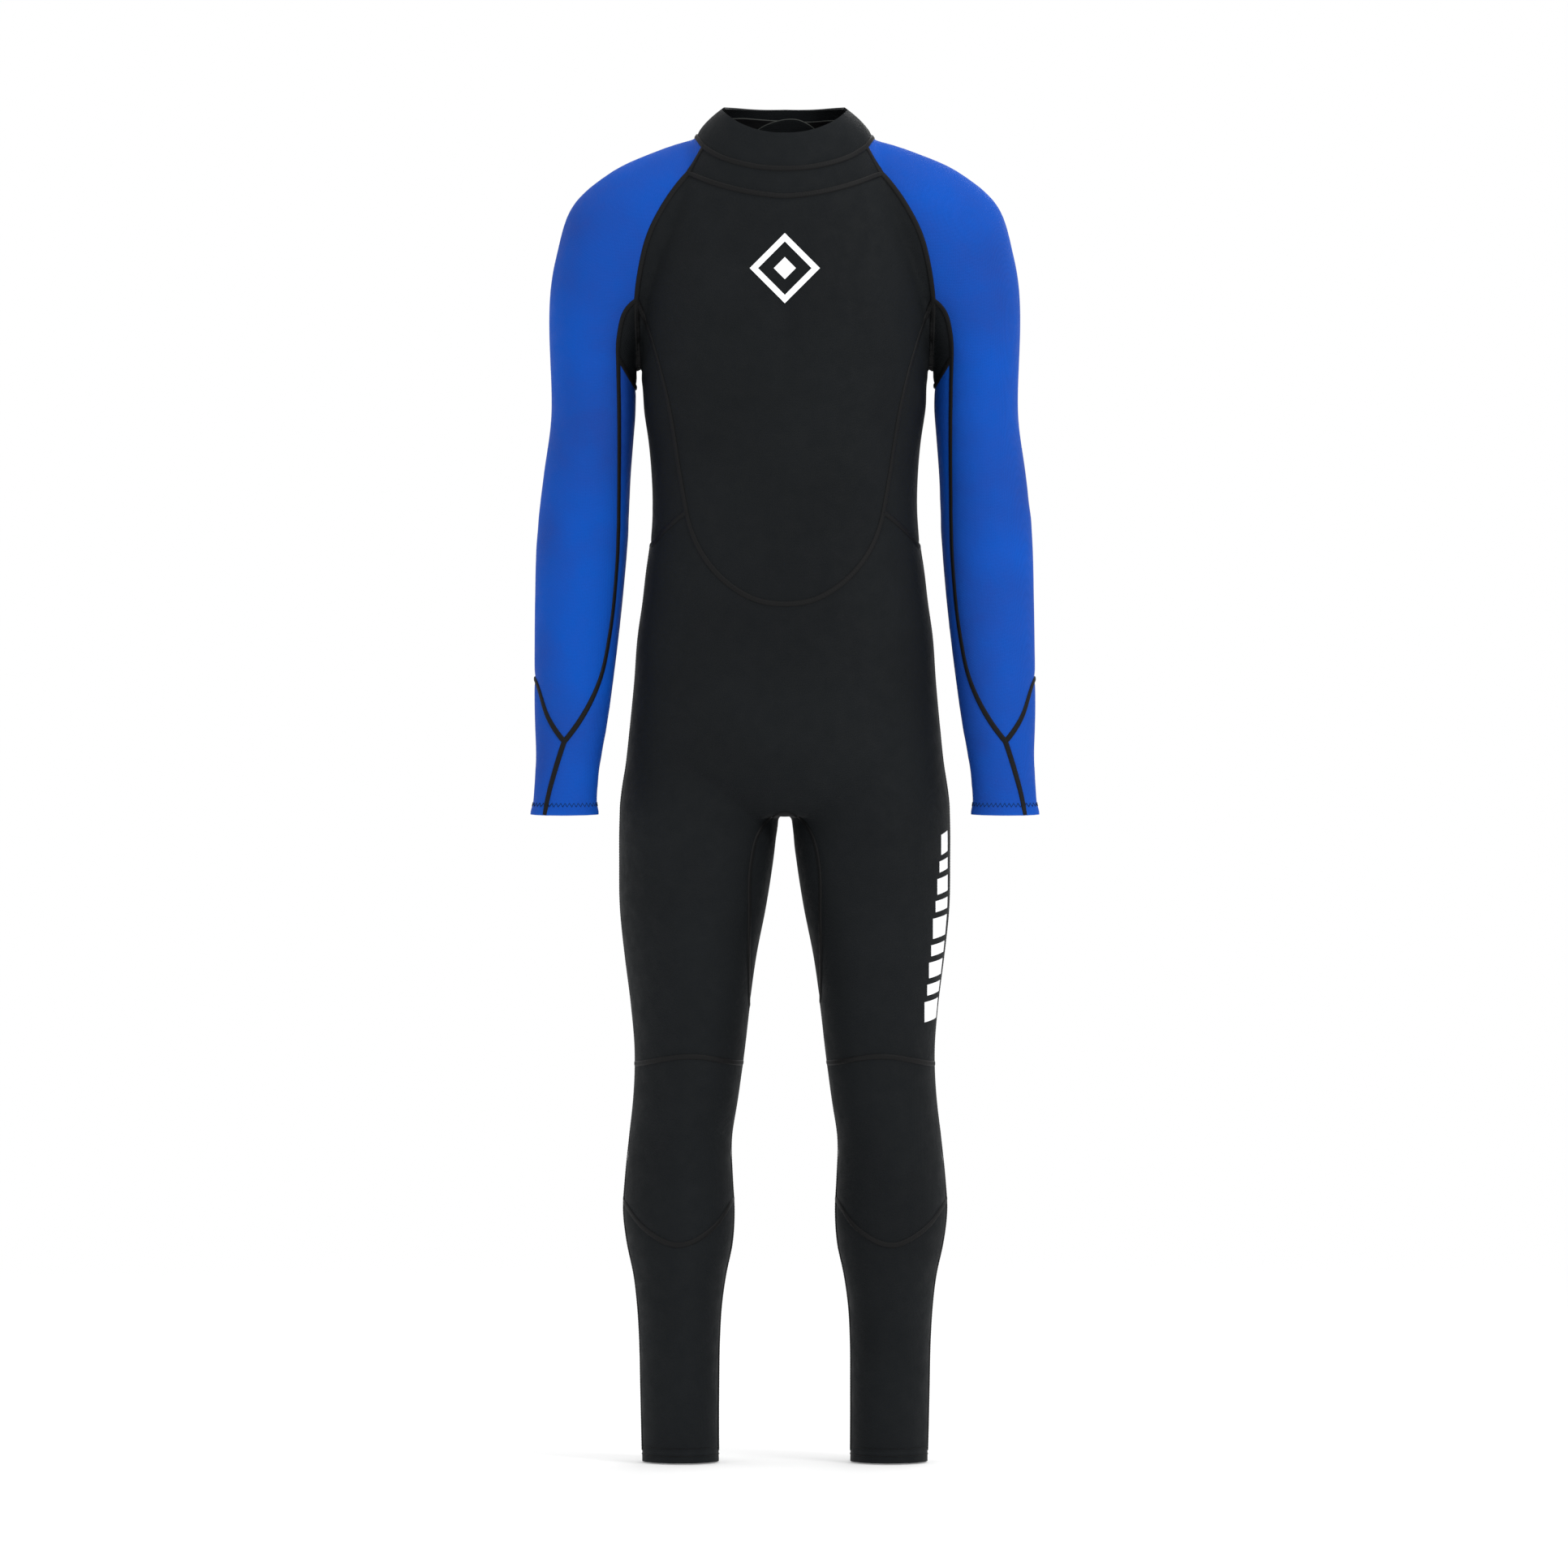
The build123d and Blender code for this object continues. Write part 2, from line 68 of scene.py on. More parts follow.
TORSO = [
    (706, 132, 62, 74), (742, 174, 91, 108), (770, 173, 98, 118), (798, 169.5, 100, 122),
    (850, 164, 104, 124),
    (902, 160, 106, 119), (937, 155, 106, 112), (972, 151, 105, 108), (1007, 146, 104, 105.9),
    (1042, 144, 104, 105.2), (1077, 145, 105, 104.5), (1112, 148, 107, 103.8),
    (1147, 153, 110, 103.1), (1182, 155, 113, 102.4), (1220, 157, 114, 101.6),
    (1252, 157, 113, 101), (1290, 155, 107, 100.2), (1322, 149, 100, 99.6),
    (1350, 140, 93, 99), (1370, 131, 88, 98.6), (1392, 120, 83, 98.2), (1412, 110, 80, 97),
    (1432, 101, 77, 92), (1447, 96, 74.5, 86.5), (1458, 88, 72.5, 83), (1468, 78, 71, 80),
    (1477, 66.5, 70.5, 78), (1487, 52, 70, 76),
]
LEG = [
    (-10, 113.5, 42, 12, 47), (82, 114.8, 43, 10, 49), (134, 115, 44, 10, 52),
    (169, 115, 46, 10, 55), (204, 114.5, 50.5, 11, 60), (239, 114.5, 58, 12, 64),
    (274, 115.5, 61, 11, 66), (309, 115.5, 59, 9, 65), (353, 114, 56, 4, 62),
    (396, 108.5, 57, -2, 62), (449, 104, 59.5, -2, 66), (501, 103, 64.5, -1, 71),
    (553, 102.5, 71.5, 0, 78), (606, 100, 79.5, 2, 85), (658, 96.5, 84, 4, 91),
    (700, 94, 86.5, 6, 94), (742, 91, 87, 8, 92), (780, 85, 80, 8, 82), (802, 78, 68, 8, 66),
]
SLEEVE = [
    (80, 1446, 60, 1290, 6, 52), (143, 1428, 108, 1265, 8, 62), (190, 1406, 134, 1245, 8, 64),
    (231, 1370, 147, 1226, 8, 62), (250, 1312, 157, 1208, 8, 58), (256, 1130, 164, 1130, 8, 51),
    (263.5, 1077, 168, 1077, 8, 49), (270.5, 1007, 171, 1007, 6, 47),
    (272, 938, 177, 938, 0, 46), (272.3, 885, 183, 885, -7, 43),
    (272.5, 833, 189.5, 833, -14, 39), (273, 780, 196, 780, -21, 35),
    (274.5, 738, 201.5, 738, -27, 31), (276, 698, 204, 698, -31, 31),
]

# Seams, seen from the front: (x, height) for the wearer's left, mirrored for the right.
COLLAR_FRONT = [(0, 1411), (45, 1416), (75, 1426), (89, 1435)]
COLLAR_BACK = [(0, 1426), (45, 1427), (75, 1430), (89, 1435)]
COLLAR_SIDE = [(89, 1435), (98, 1448), (112, 1480)]
COLLAR_RIM = [(0, 1450), (32, 1454), (55, 1464), (75, 1482)]
COLLAR_TOP = [(-1, 1475), (30, 1475), (58, 1477), (80, 1478)]
YOKE = [(0, 1381), (50, 1388), (85, 1398), (105.5, 1406)]
YOKE_SIDE = [(89, 1435), (105.5, 1406)]
RAGLAN = [(105.5, 1406), (132, 1370), (147, 1340), (157, 1300), (161, 1268)]
ARMPIT = [(161, 1268), (160.5, 1235), (159.5, 1205), (158.5, 1165)]
GUSSET = [(161, 1268), (173, 1256), (179, 1235), (181, 1206)]
GUSSET_TIP = [(181, 1206), (168, 1183), (158.5, 1165)]
SIDE = [(161, 1268), (147, 1230), (138, 1200), (126, 1150), (114, 1075), (107.5, 1038)]
WAIST = [(107.5, 1038), (128, 1021), (145, 1002), (165, 972)]
LAP = [(0, 939), (30, 943), (58, 958), (87, 988), (107.5, 1038)]
CROTCH = [(0, 711), (17, 703), (30, 684), (36.5, 655), (38, 600), (38.5, 500)]
KNEE_TOP = [(30, 433), (50, 437), (104, 446), (160, 436), (190, 428)]
KNEE_BOTTOM = [(40, 305), (56, 286), (76, 259), (116, 239), (156, 259), (176, 284), (192, 304)]
SLEEVE_INNER = [(181, 1206), (180, 1080), (183, 970), (190, 905), (201, 854), (217, 820),
                (240, 788)]
SLEEVE_OUTER = [(285, 880), (271, 852), (257, 812), (240, 788)]
SLEEVE_STEM = [(240, 788), (250, 757), (259, 723), (264, 690)]
BESIDE_HIP = [(165, 972), (168, 938), (180, 850), (190, 770), (192, 690)]
BESIDE_CHEST = [(158.5, 1165), (165, 972)]


def mm(x, y, z):
    """A point in millimetres above the ankle hems, as the frame's metres."""
    return Vector((x / 1000, y / 1000, (z - NECK_HEIGHT) / 1000))


def spaced(rows, step):
    """Rows joined by a smooth curve through all of them, at even steps of its length."""
    rows = np.array(rows, float)
    if len(rows) == 2:
        bend = np.tile(rows[1] - rows[0], (2, 1))
        knots = np.array([0, np.linalg.norm(rows[1] - rows[0])])
        bend = bend / knots[1]
    else:
        knots = np.concatenate([[0], np.cumsum(np.linalg.norm(np.diff(rows, axis=0), axis=1))])
        bend = np.gradient(rows, knots, axis=0, edge_order=2)
    at = np.linspace(0, knots[-1], max(2, int(round(knots[-1] / step)) + 1))
    i = np.clip(np.searchsorted(knots, at) - 1, 0, len(knots) - 2)
    width = (knots[i + 1] - knots[i])[:, None]
    t = ((at - knots[i]) / width[:, 0])[:, None]
    start, end = rows[i], rows[i + 1]
    return (
        (2 * t**3 - 3 * t**2 + 1) * start + (t**3 - 2 * t**2 + t) * width * bend[i]
        + (3 * t**2 - 2 * t**3) * end + (t**3 - t**2) * width * bend[i + 1]
    )


def ring(centre, across, front, back, square):
    angle = np.linspace(0, 2 * math.pi, RING_POINTS, endpoint=False)
    c, s = np.cos(angle), np.sin(angle)
    u = np.sign(c) * np.abs(c) ** (2 / square)
    v = np.sign(s) * np.abs(s) ** (2 / square) * np.where(s > 0, back, front)
    points = centre + u[:, None] * across
    points[:, 1] += v
    return points


def tube(rings):
    """A closed tube through rings of points, as vertices and faces."""
    n = RING_POINTS
    faces = []
    for row in range(len(rings) - 1):
        for k in range(n):
            a, b = row * n + k, row * n + (k + 1) % n
            faces.append((a, b, b + n, a + n))
    faces.append(tuple(range(n))[::-1])
    faces.append(tuple((len(rings) - 1) * n + k for k in range(n)))
    return np.concatenate(rings), faces


def body_tubes():
    trunk = [
        ring(np.array([0, 0, h]), np.array([w, 0, 0]), f, b, 2.35)
        for h, w, f, b in spaced(TORSO, ROW_STEP)
    ]
    tubes = [tube(trunk)]
    for side in (1, -1):
        rings = []
        for h, x, w, y, d in spaced(LEG, ROW_STEP):
            rings.append(ring(np.array([x * side, y, h]), np.array([w, 0, 0]), d, d, 2))
        tubes.append(tube(rings))
        rings = []
        for ox, oz, ix, iz, y, d in spaced(SLEEVE, ROW_STEP):
            middle = np.array([(ox + ix) / 2 * side, y, (oz + iz) / 2])
            rings.append(ring(middle, np.array([(ox - ix) / 2 * side, 0, (oz - iz) / 2]), d, d, 2))
        tubes.append(tube(rings))
    return tubes


def link(obj):
    bpy.context.scene.collection.objects.link(obj)
    return obj


def mesh_object(name, points, faces):
    mesh = bpy.data.meshes.new(name)
    mesh.from_pydata([tuple(p) for p in points], [], faces)
    mesh.update()
    return link(bpy.data.objects.new(name, mesh))


def applied(obj):
    """A mesh with the object's modifiers applied."""
    done = obj.evaluated_get(bpy.context.evaluated_depsgraph_get())
    return bpy.data.meshes.new_from_object(done)


def faced_outwards(obj):
    bm = bmesh.new()
    bm.from_mesh(obj.data)
    bmesh.ops.recalc_face_normals(bm, faces=bm.faces)
    bm.to_mesh(obj.data)
    bm.free()


def remeshed_body():
    """The tubes joined into one closed skin of even faces."""
    points, faces, count = [], [], 0
    for tube_points, tube_faces in body_tubes():
        points.append(tube_points)
        faces += [tuple(i + count for i in face) for face in tube_faces]
        count += len(tube_points)
    points = np.concatenate(points) / 1000
    points[:, 2] -= NECK_HEIGHT / 1000
    rough = mesh_object("rough", points, faces)
    faced_outwards(rough)
    remesh = rough.modifiers.new("remesh", "REMESH")
    remesh.mode = "VOXEL"
    remesh.voxel_size = VOXEL
    mesh = applied(rough)
    bpy.data.objects.remove(rough)
    return mesh


def vectors(mesh, kind):
    """The mesh's vertex places ("co") or normals, as rows."""
    out = np.empty(len(mesh.vertices) * 3)
    mesh.vertices.foreach_get(kind, out)
    return out.reshape(-1, 3)


def move_to(mesh, points):
    mesh.vertices.foreach_set("co", points.ravel())
    mesh.update()


def neighbour_mean(points, edges):
    total = np.zeros_like(points)
    count = np.zeros(len(points))
    for a, b in ((0, 1), (1, 0)):
        np.add.at(total, edges[:, a], points[edges[:, b]])
        np.add.at(count, edges[:, a], 1)
    return total / np.maximum(count, 1)[:, None]


def smoothed(points, edges, pull):
    """Moves each point towards the mean of its neighbours, or away where pull is negative."""
    points += pull * (neighbour_mean(points, edges) - points)


def edge_pairs(mesh):
    out = np.empty(len(mesh.edges) * 2, int)
    mesh.edges.foreach_get("vertices", out)
    return out.reshape(-1, 2)


# The low shapes of worn neoprene: rise in mm, the way it faces (-1 ahead, 1 behind), its centre
# (x, height) and its radii.
SWELLINGS = [
    (5.0, -1, (68, 1262), (62, 46)), (-2.5, -1, (70, 1195), (75, 22)),
    (-3.0, -1, (0, 1270), (16, 60)),
    (4.0, -1, (114, 352), (32, 42)), (-2.0, -1, (114, 300), (40, 18)),
    (3.0, 1, (78, 1290), (50, 60)), (6.0, 1, (75, 815), (60, 60)), (-3.0, 1, (0, 820), (12, 70)),
]
# Where it creases: armpit, elbow, back of the knee and crotch. A way of 0 is all round.
CREASED = [
    (0, (164, 1205), (40, 60)), (0, (220, 1030), (60, 40)),
    (1, (110, 362), (70, 50)), (0, (40, 705), (70, 40)),
]
CREASE, WAVE = 1.1, 0.9  # their heights, mm
HIP_HEIGHT, HIP_REACH = 758, 38  # where the legs' tubes leave the trunk's
ZIP_FLAT = (20, 25)  # no swelling this far from the middle of the back, and full so much further
CUFF_FLARE, FLARE_START, FLARE_REACH = 2.2, 722, 9


def hump(points, centre, radii):
    """A soft round swelling, 1 at its centre (x, height in mm) and nothing two radii away."""
    x, z = points[:, 0] * 1000, points[:, 2] * 1000 + NECK_HEIGHT
    r = ((np.abs(x) - centre[0]) / radii[0]) ** 2 + ((z - centre[1]) / radii[1]) ** 2
    return np.exp(-r * 1.5)


def waves(points, seed, scale):
    """Smooth irregular waves between -1 and 1, the same on every run."""
    random = np.random.default_rng(seed)
    total = np.zeros(len(points))
    for _ in range(7):
        direction = random.normal(size=3)
        direction /= np.linalg.norm(direction)
        rate = random.uniform(0.6, 1.6)
        total += np.sin(points @ direction * rate / scale + random.uniform(0, 6.28))
    return total / 4


def smooth_skin(points, edges):
    """Softens the joined tubes without shrinking them, and the hips once more."""
    for step in range(16):
        smoothed(points, edges, 0.5 if step % 2 == 0 else -0.52)
    hips = np.exp(-(((points[:, 2] * 1000 + NECK_HEIGHT - HIP_HEIGHT) / HIP_REACH) ** 2))
    hips *= np.clip((np.abs(points[:, 0]) - 0.09) / 0.05, 0, 1)
    hips[hips < 0.02] = 0
    beside = edges[hips[edges].max(axis=1) > 0]
    for _ in range(70):
        smoothed(points, beside, 0.5 * hips[:, None])


def skin_rise(points, normals):
    """How far each point of the skin stands out, in millimetres."""
    facing = {0: 1, 1: np.clip(normals[:, 1], 0, 1), -1: np.clip(-normals[:, 1], 0, 1)}
    rise = sum(height * facing[way] * hump(points, *place) for height, way, *place in SWELLINGS)
    creases = sum(facing[way] * hump(points, *place) for way, *place in CREASED)
    rise += CREASE * creases * waves(points * (1, 1, 2.2), 5, 0.011)
    rise += WAVE * waves(points, 2, 0.055)
    heights = points[:, 2] * 1000 + NECK_HEIGHT
    beside_zip = np.clip((np.abs(points[:, 0]) * 1000 - ZIP_FLAT[0]) / ZIP_FLAT[1], 0, 1)
    rise *= np.where((heights > 940) & (points[:, 1] > 0), beside_zip, 1)
    wrists = (np.abs(points[:, 0]) > 0.19) & (heights < FLARE_START + 3)
    flare = CUFF_FLARE * np.clip((FLARE_START - heights) / FLARE_REACH, 0, 1) ** 2
    return rise + np.where(wrists, flare, 0)


def shaped_skin():
    mesh = remeshed_body()
    edges = edge_pairs(mesh)
    points = vectors(mesh, "co")
    smooth_skin(points, edges)
    move_to(mesh, points)
    normals = vectors(mesh, "normal")
    points += normals * skin_rise(points, normals)[:, None] / 1000
    for _ in range(2):
        smoothed(points, edges, 0.4)
    move_to(mesh, points)
    return mesh


def outline(*runs):
    """A closed outline: runs given as tuples are straight, lists are smooth."""
    parts = [np.array(run, float) if isinstance(run, tuple) else spaced(run, 2) for run in runs]
    return np.concatenate(parts)


def inside(shape, x, z):
    """Which points lie inside a closed outline."""
    hit = np.zeros(len(x), bool)
    for (x0, z0), (x1, z1) in zip(shape, np.roll(shape, -1, axis=0)):
        if z0 != z1:
            crosses = (z0 > z) != (z1 > z)
            hit ^= crosses & (x < (x1 - x0) * (z - z0) / (z1 - z0) + x0)
    return hit


def areas():
    """Each panel: its name, whether it crosses the centre plane, depth limits and outline."""
    ahead, behind, through = (-FAR, 0), (0, FAR), (-FAR, FAR)
    leg_ahead, leg_behind = (-FAR, SIDE_SEAM_Y), (SIDE_SEAM_Y, FAR)
    over = ((112, 1500), (-1, 1500))
    beside = tuple([*BESIDE_HIP, (205, 600), KNEE_TOP[-1]])
    lower = outline(LAP, WAIST, beside, KNEE_TOP[::-1], (CROTCH[-1],), CROTCH[::-1],
                    ((-1, 711), (-1, 939)))
    outer, inner = KNEE_BOTTOM[-1], KNEE_BOTTOM[0]
    return [
        ("collar", True, ahead, outline(COLLAR_FRONT, COLLAR_SIDE, over, ((-1, 1411),))),
        ("collar", True, behind, outline(COLLAR_BACK, COLLAR_SIDE, over, ((-1, 1426),))),
        ("neck_yoke", True, ahead,
         outline(COLLAR_FRONT, YOKE_SIDE, YOKE[::-1], ((-1, 1381), (-1, 1411)))),
        ("front_torso_panel", True, ahead,
         outline(YOKE, RAGLAN, SIDE, LAP[::-1], ((-1, 939), (-1, 1381)))),
        ("upper_back", False, behind,
         outline(COLLAR_BACK, YOKE_SIDE, RAGLAN, SIDE, LAP[::-1], ((-1, 939), (-1, 1426)))),
        ("side_panel", False, through,
         outline(SIDE, WAIST, tuple(BESIDE_CHEST[::-1]), ARMPIT[::-1])),
        ("underarm_gusset", False, through, outline(GUSSET, GUSSET_TIP, ARMPIT[::-1])),
        ("wrist_hem", False, through,
         np.array([(186, WRIST_HEM), (300, WRIST_HEM), (300, 600), (186, 600)], float)),
        ("sleeve", False, through,
         outline(COLLAR_SIDE[::-1], YOKE_SIDE, RAGLAN, GUSSET, SLEEVE_INNER, SLEEVE_OUTER[::-1],
                 ((300, 900), (300, 1500), (112, 1500)))),
        ("underside", False, through,
         outline(GUSSET_TIP[::-1], SLEEVE_INNER, SLEEVE_STEM, tuple(BESIDE_HIP[::-1]),
                 tuple(BESIDE_CHEST[::-1]))),
        ("forearm_outer_panel", False, through,
         outline(SLEEVE_OUTER, SLEEVE_STEM, ((300, 690), (300, 900)))),
        ("crotch_gusset", True, through, outline(CROTCH, ((-1, 500), (-1, 711)))),
        ("lower_front_panel", True, leg_ahead, lower),
        ("lower_back_panel", True, leg_behind, lower),
        ("ankle_hem", False, through,
         np.array([(20, ANKLE_HEM), (210, ANKLE_HEM), (210, -40), (20, -40)], float)),
        ("knee_panel", False, leg_ahead, outline(KNEE_TOP, (outer,), KNEE_BOTTOM[::-1], (inner,))),
        ("shin_panel", False, leg_ahead, outline(KNEE_BOTTOM, (outer, (210, 5), (20, 5), inner))),
        ("knee_back_panel", False, leg_behind,
         outline(KNEE_TOP, ((210, KNEE_BACK), (20, KNEE_BACK)))),
        ("calf_panel", False, leg_behind,
         np.array([(20, KNEE_BACK), (210, KNEE_BACK), (210, 5), (20, 5)], float)),
    ]


def level(height, low, high):
    return [(low, height), (high, height)]


def cut_lines():
    """Every cut: a line of (x, height) points and the depths between which it cuts.

    The lines of one group don't meet, so that they are cut in one pass.
    """
    ahead, behind, through = (-FAR, 0), (0, FAR), (-FAR, FAR)
    gap = ZIP_HALF_GAP
    return [
        [(COLLAR_FRONT, ahead), (COLLAR_BACK, behind), (YOKE, ahead), (ARMPIT, through),
         (LAP, through), (CROTCH, through), (KNEE_TOP, through), (SLEEVE_INNER, through),
         (level(ANKLE_HEM, 20, 210), through), (level(WRIST_HEM, 186, 300), through)],
        [(COLLAR_SIDE, through), (RAGLAN, through), (GUSSET_TIP, through), (WAIST, through),
         (KNEE_BOTTOM, (-FAR, SIDE_SEAM_Y)), (SLEEVE_OUTER, through),
         (level(0, 20, 210), through), (level(CUFF, 186, 300), through)],
        [(YOKE_SIDE, through), (SIDE, through), (GUSSET, through), (SLEEVE_STEM, through),
         (level(KNEE_BACK, 20, 210), (SIDE_SEAM_Y, FAR)), (COLLAR_RIM, (-FAR, RIM_END_Y)),
         ([(gap, ZIP_BOTTOM), (gap, COLLAR_BACK[0][1])], behind)],
        [(COLLAR_TOP, through), (level(ZIP_BOTTOM, -gap, gap), behind)],
    ]


def signed_distance(line, x, z):
    """Distance to a line of points, with its side, and whether the nearest place isn't an end."""
    best = np.full(len(x), np.inf)
    sign = np.zeros(len(x))
    within = np.zeros(len(x), bool)
    last = len(line) - 2
    for k, ((x0, z0), (x1, z1)) in enumerate(zip(line, line[1:])):
        dx, dz = x1 - x0, z1 - z0
        t = ((x - x0) * dx + (z - z0) * dz) / (dx * dx + dz * dz)
        reach = 2.5 / math.hypot(dx, dz)
        ok = (t >= (-reach if k == 0 else 0)) & (t <= (1 + reach if k == last else 1))
        s = np.clip(t, 0, 1)
        d = np.hypot(x - x0 - s * dx, z - z0 - s * dz)
        nearer = d < best
        best[nearer] = d[nearer]
        side = (x - x0) * dz - (z - z0) * dx
        sign[nearer] = np.sign(side)[nearer]
        within[nearer] = (ok | ((t > -0.5) & (t < 1.5) & (0 < k < last)))[nearer]
    return best * sign, within


def vertex_table(bm):
    out = np.array([v.co for v in bm.verts]) * 1000
    out[:, 2] += NECK_HEIGHT
    return out


def cut_along(bm, fields):
    """Splits the faces of bm where a field changes sign, between its active vertices."""
    edges = list(bm.edges)
    pairs = np.array([(e.verts[0].index, e.verts[1].index) for e in edges])
    a, b = pairs[:, 0], pairs[:, 1]
    splits = []
    for field, active in fields:
        for index in np.flatnonzero((field[a] * field[b] < 0) & active[a] & active[b]):
            fa, fb = field[a[index]], field[b[index]]
            splits.append((edges[index], min(max(fa / (fa - fb), 0.02), 0.98)))
    new = [bmesh.utils.edge_split(edge, edge.verts[0], share)[1] for edge, share in splits]
    bmesh.ops.connect_verts(bm, verts=new)
    bm.verts.index_update()


def cut_skin(bm):
    bm.verts.index_update()
    for group in cut_lines():
        x, y, z = vertex_table(bm).T
        x = np.abs(x)
        fields = []
        for points, depth in group:
            line = spaced(points, 2)
            near = (x > line[:, 0].min() - 9) & (x < line[:, 0].max() + 9)
            near &= (z > line[:, 1].min() - 9) & (z < line[:, 1].max() + 9)
            near &= (y > depth[0] - 3) & (y < depth[1] + 3)
            index = np.flatnonzero(near)
            field, ok = np.zeros(len(x)), np.zeros(len(x), bool)
            field[index], ok[index] = signed_distance(line, x[index], z[index])
            ok &= np.abs(field) < 9
            field[ok & (np.abs(field) < 0.02)] = 0.02
            fields.append((field, ok))
        cut_along(bm, fields)
    x, y, z = vertex_table(bm).T
    field = np.where(np.abs(y - SIDE_SEAM_Y) < 0.02, 0.02, y - SIDE_SEAM_Y)
    ok = (z < 990) & (np.abs(field) < 12) & ((z < 520) | (np.abs(x) > 100)) & (z > ANKLE_HEM)
    ok &= np.abs(x) < np.interp(z, [690, 770, 850, 938, 972], [192, 190, 180, 168, 165])
    middle = (y > 0) & (z > 939) & (z < ZIP_BOTTOM) & (np.abs(x) < 9)
    cut_along(bm, [(field, ok), (np.where(np.abs(x) < 0.02, 0.02, x), middle)])


def label_faces(bm):
    """A panel name for each face; None where the skin is cut away."""
    centres = np.array([f.calc_center_median() for f in bm.faces]) * 1000
    centres[:, 2] += NECK_HEIGHT
    x, y, z = centres.T
    names = np.full(len(x), "", dtype=object)
    for name, crosses, depth, shape in areas():
        open_yet = (names == "") & (y >= depth[0]) & (y < depth[1])
        index = np.flatnonzero(open_yet)
        hit = index[inside(shape, np.abs(x[index]), z[index])]
        if crosses:
            names[hit] = name
        else:
            names[hit] = np.where(x[hit] > 0, "left_" + name, "right_" + name)
    rim = spaced(COLLAR_RIM, 2)
    top = spaced(COLLAR_TOP, 2)
    gone = z > np.interp(np.abs(x), *top.T)
    gone |= (z < 0) | ((np.abs(x) > 186) & (z < CUFF))
    in_front = (y < RIM_END_Y) & (np.abs(x) < COLLAR_RIM[-1][0])
    gone |= in_front & (z > np.interp(np.abs(x), *rim.T))
    gone |= (y > 0) & (np.abs(x) < ZIP_HALF_GAP) & (z > ZIP_BOTTOM) & (z < COLLAR_BACK[0][1])
    names[gone] = None
    return names


class Surface:
    """The whole closed skin, for laying seams, prints and linings along it."""

    def __init__(self, mesh):
        self.points = vectors(mesh, "co")
        self.normals = vectors(mesh, "normal")
        bm = bmesh.new()
        bm.from_mesh(mesh)
        self.tree = bvhtree.BVHTree.FromBMesh(bm)
        bm.free()
        self.corners = [list(p.vertices) for p in mesh.polygons]

    def _smooth(self, place, index):
        """The normal at a place on a face, mixed from its corners'."""
        corners = self.corners[index]
        away = np.linalg.norm(self.points[corners] - np.array(place), axis=1)
        weight = 1 / (away + 1e-5)
        normal = (self.normals[corners] * weight[:, None]).sum(axis=0)
        return normal / np.linalg.norm(normal)

    def nearest(self, point):
        place, _, index, _ = self.tree.find_nearest(Vector(point))
        return np.array(place), self._smooth(place, index)

    def seen(self, start, direction):
        """Where a ray from start first meets the skin."""
        place, _, index, _ = self.tree.ray_cast(Vector(start), Vector(direction))
        return np.array(place), self._smooth(place, index)

    def ahead_of(self, x, height):
        return self.seen(mm(x, -200, height), (0, 1, 0))

    def behind(self, x, height):
        return self.seen(mm(x, 200, height), (0, -1, 0))

    def round(self, centre, height, angle, reach=0.2):
        """Seen at an angle round an upright axis, from that many metres outside it."""
        away = Vector((math.cos(angle), math.sin(angle), 0))
        return self.seen(mm(*centre, height) + away * reach, -away)


# Materials

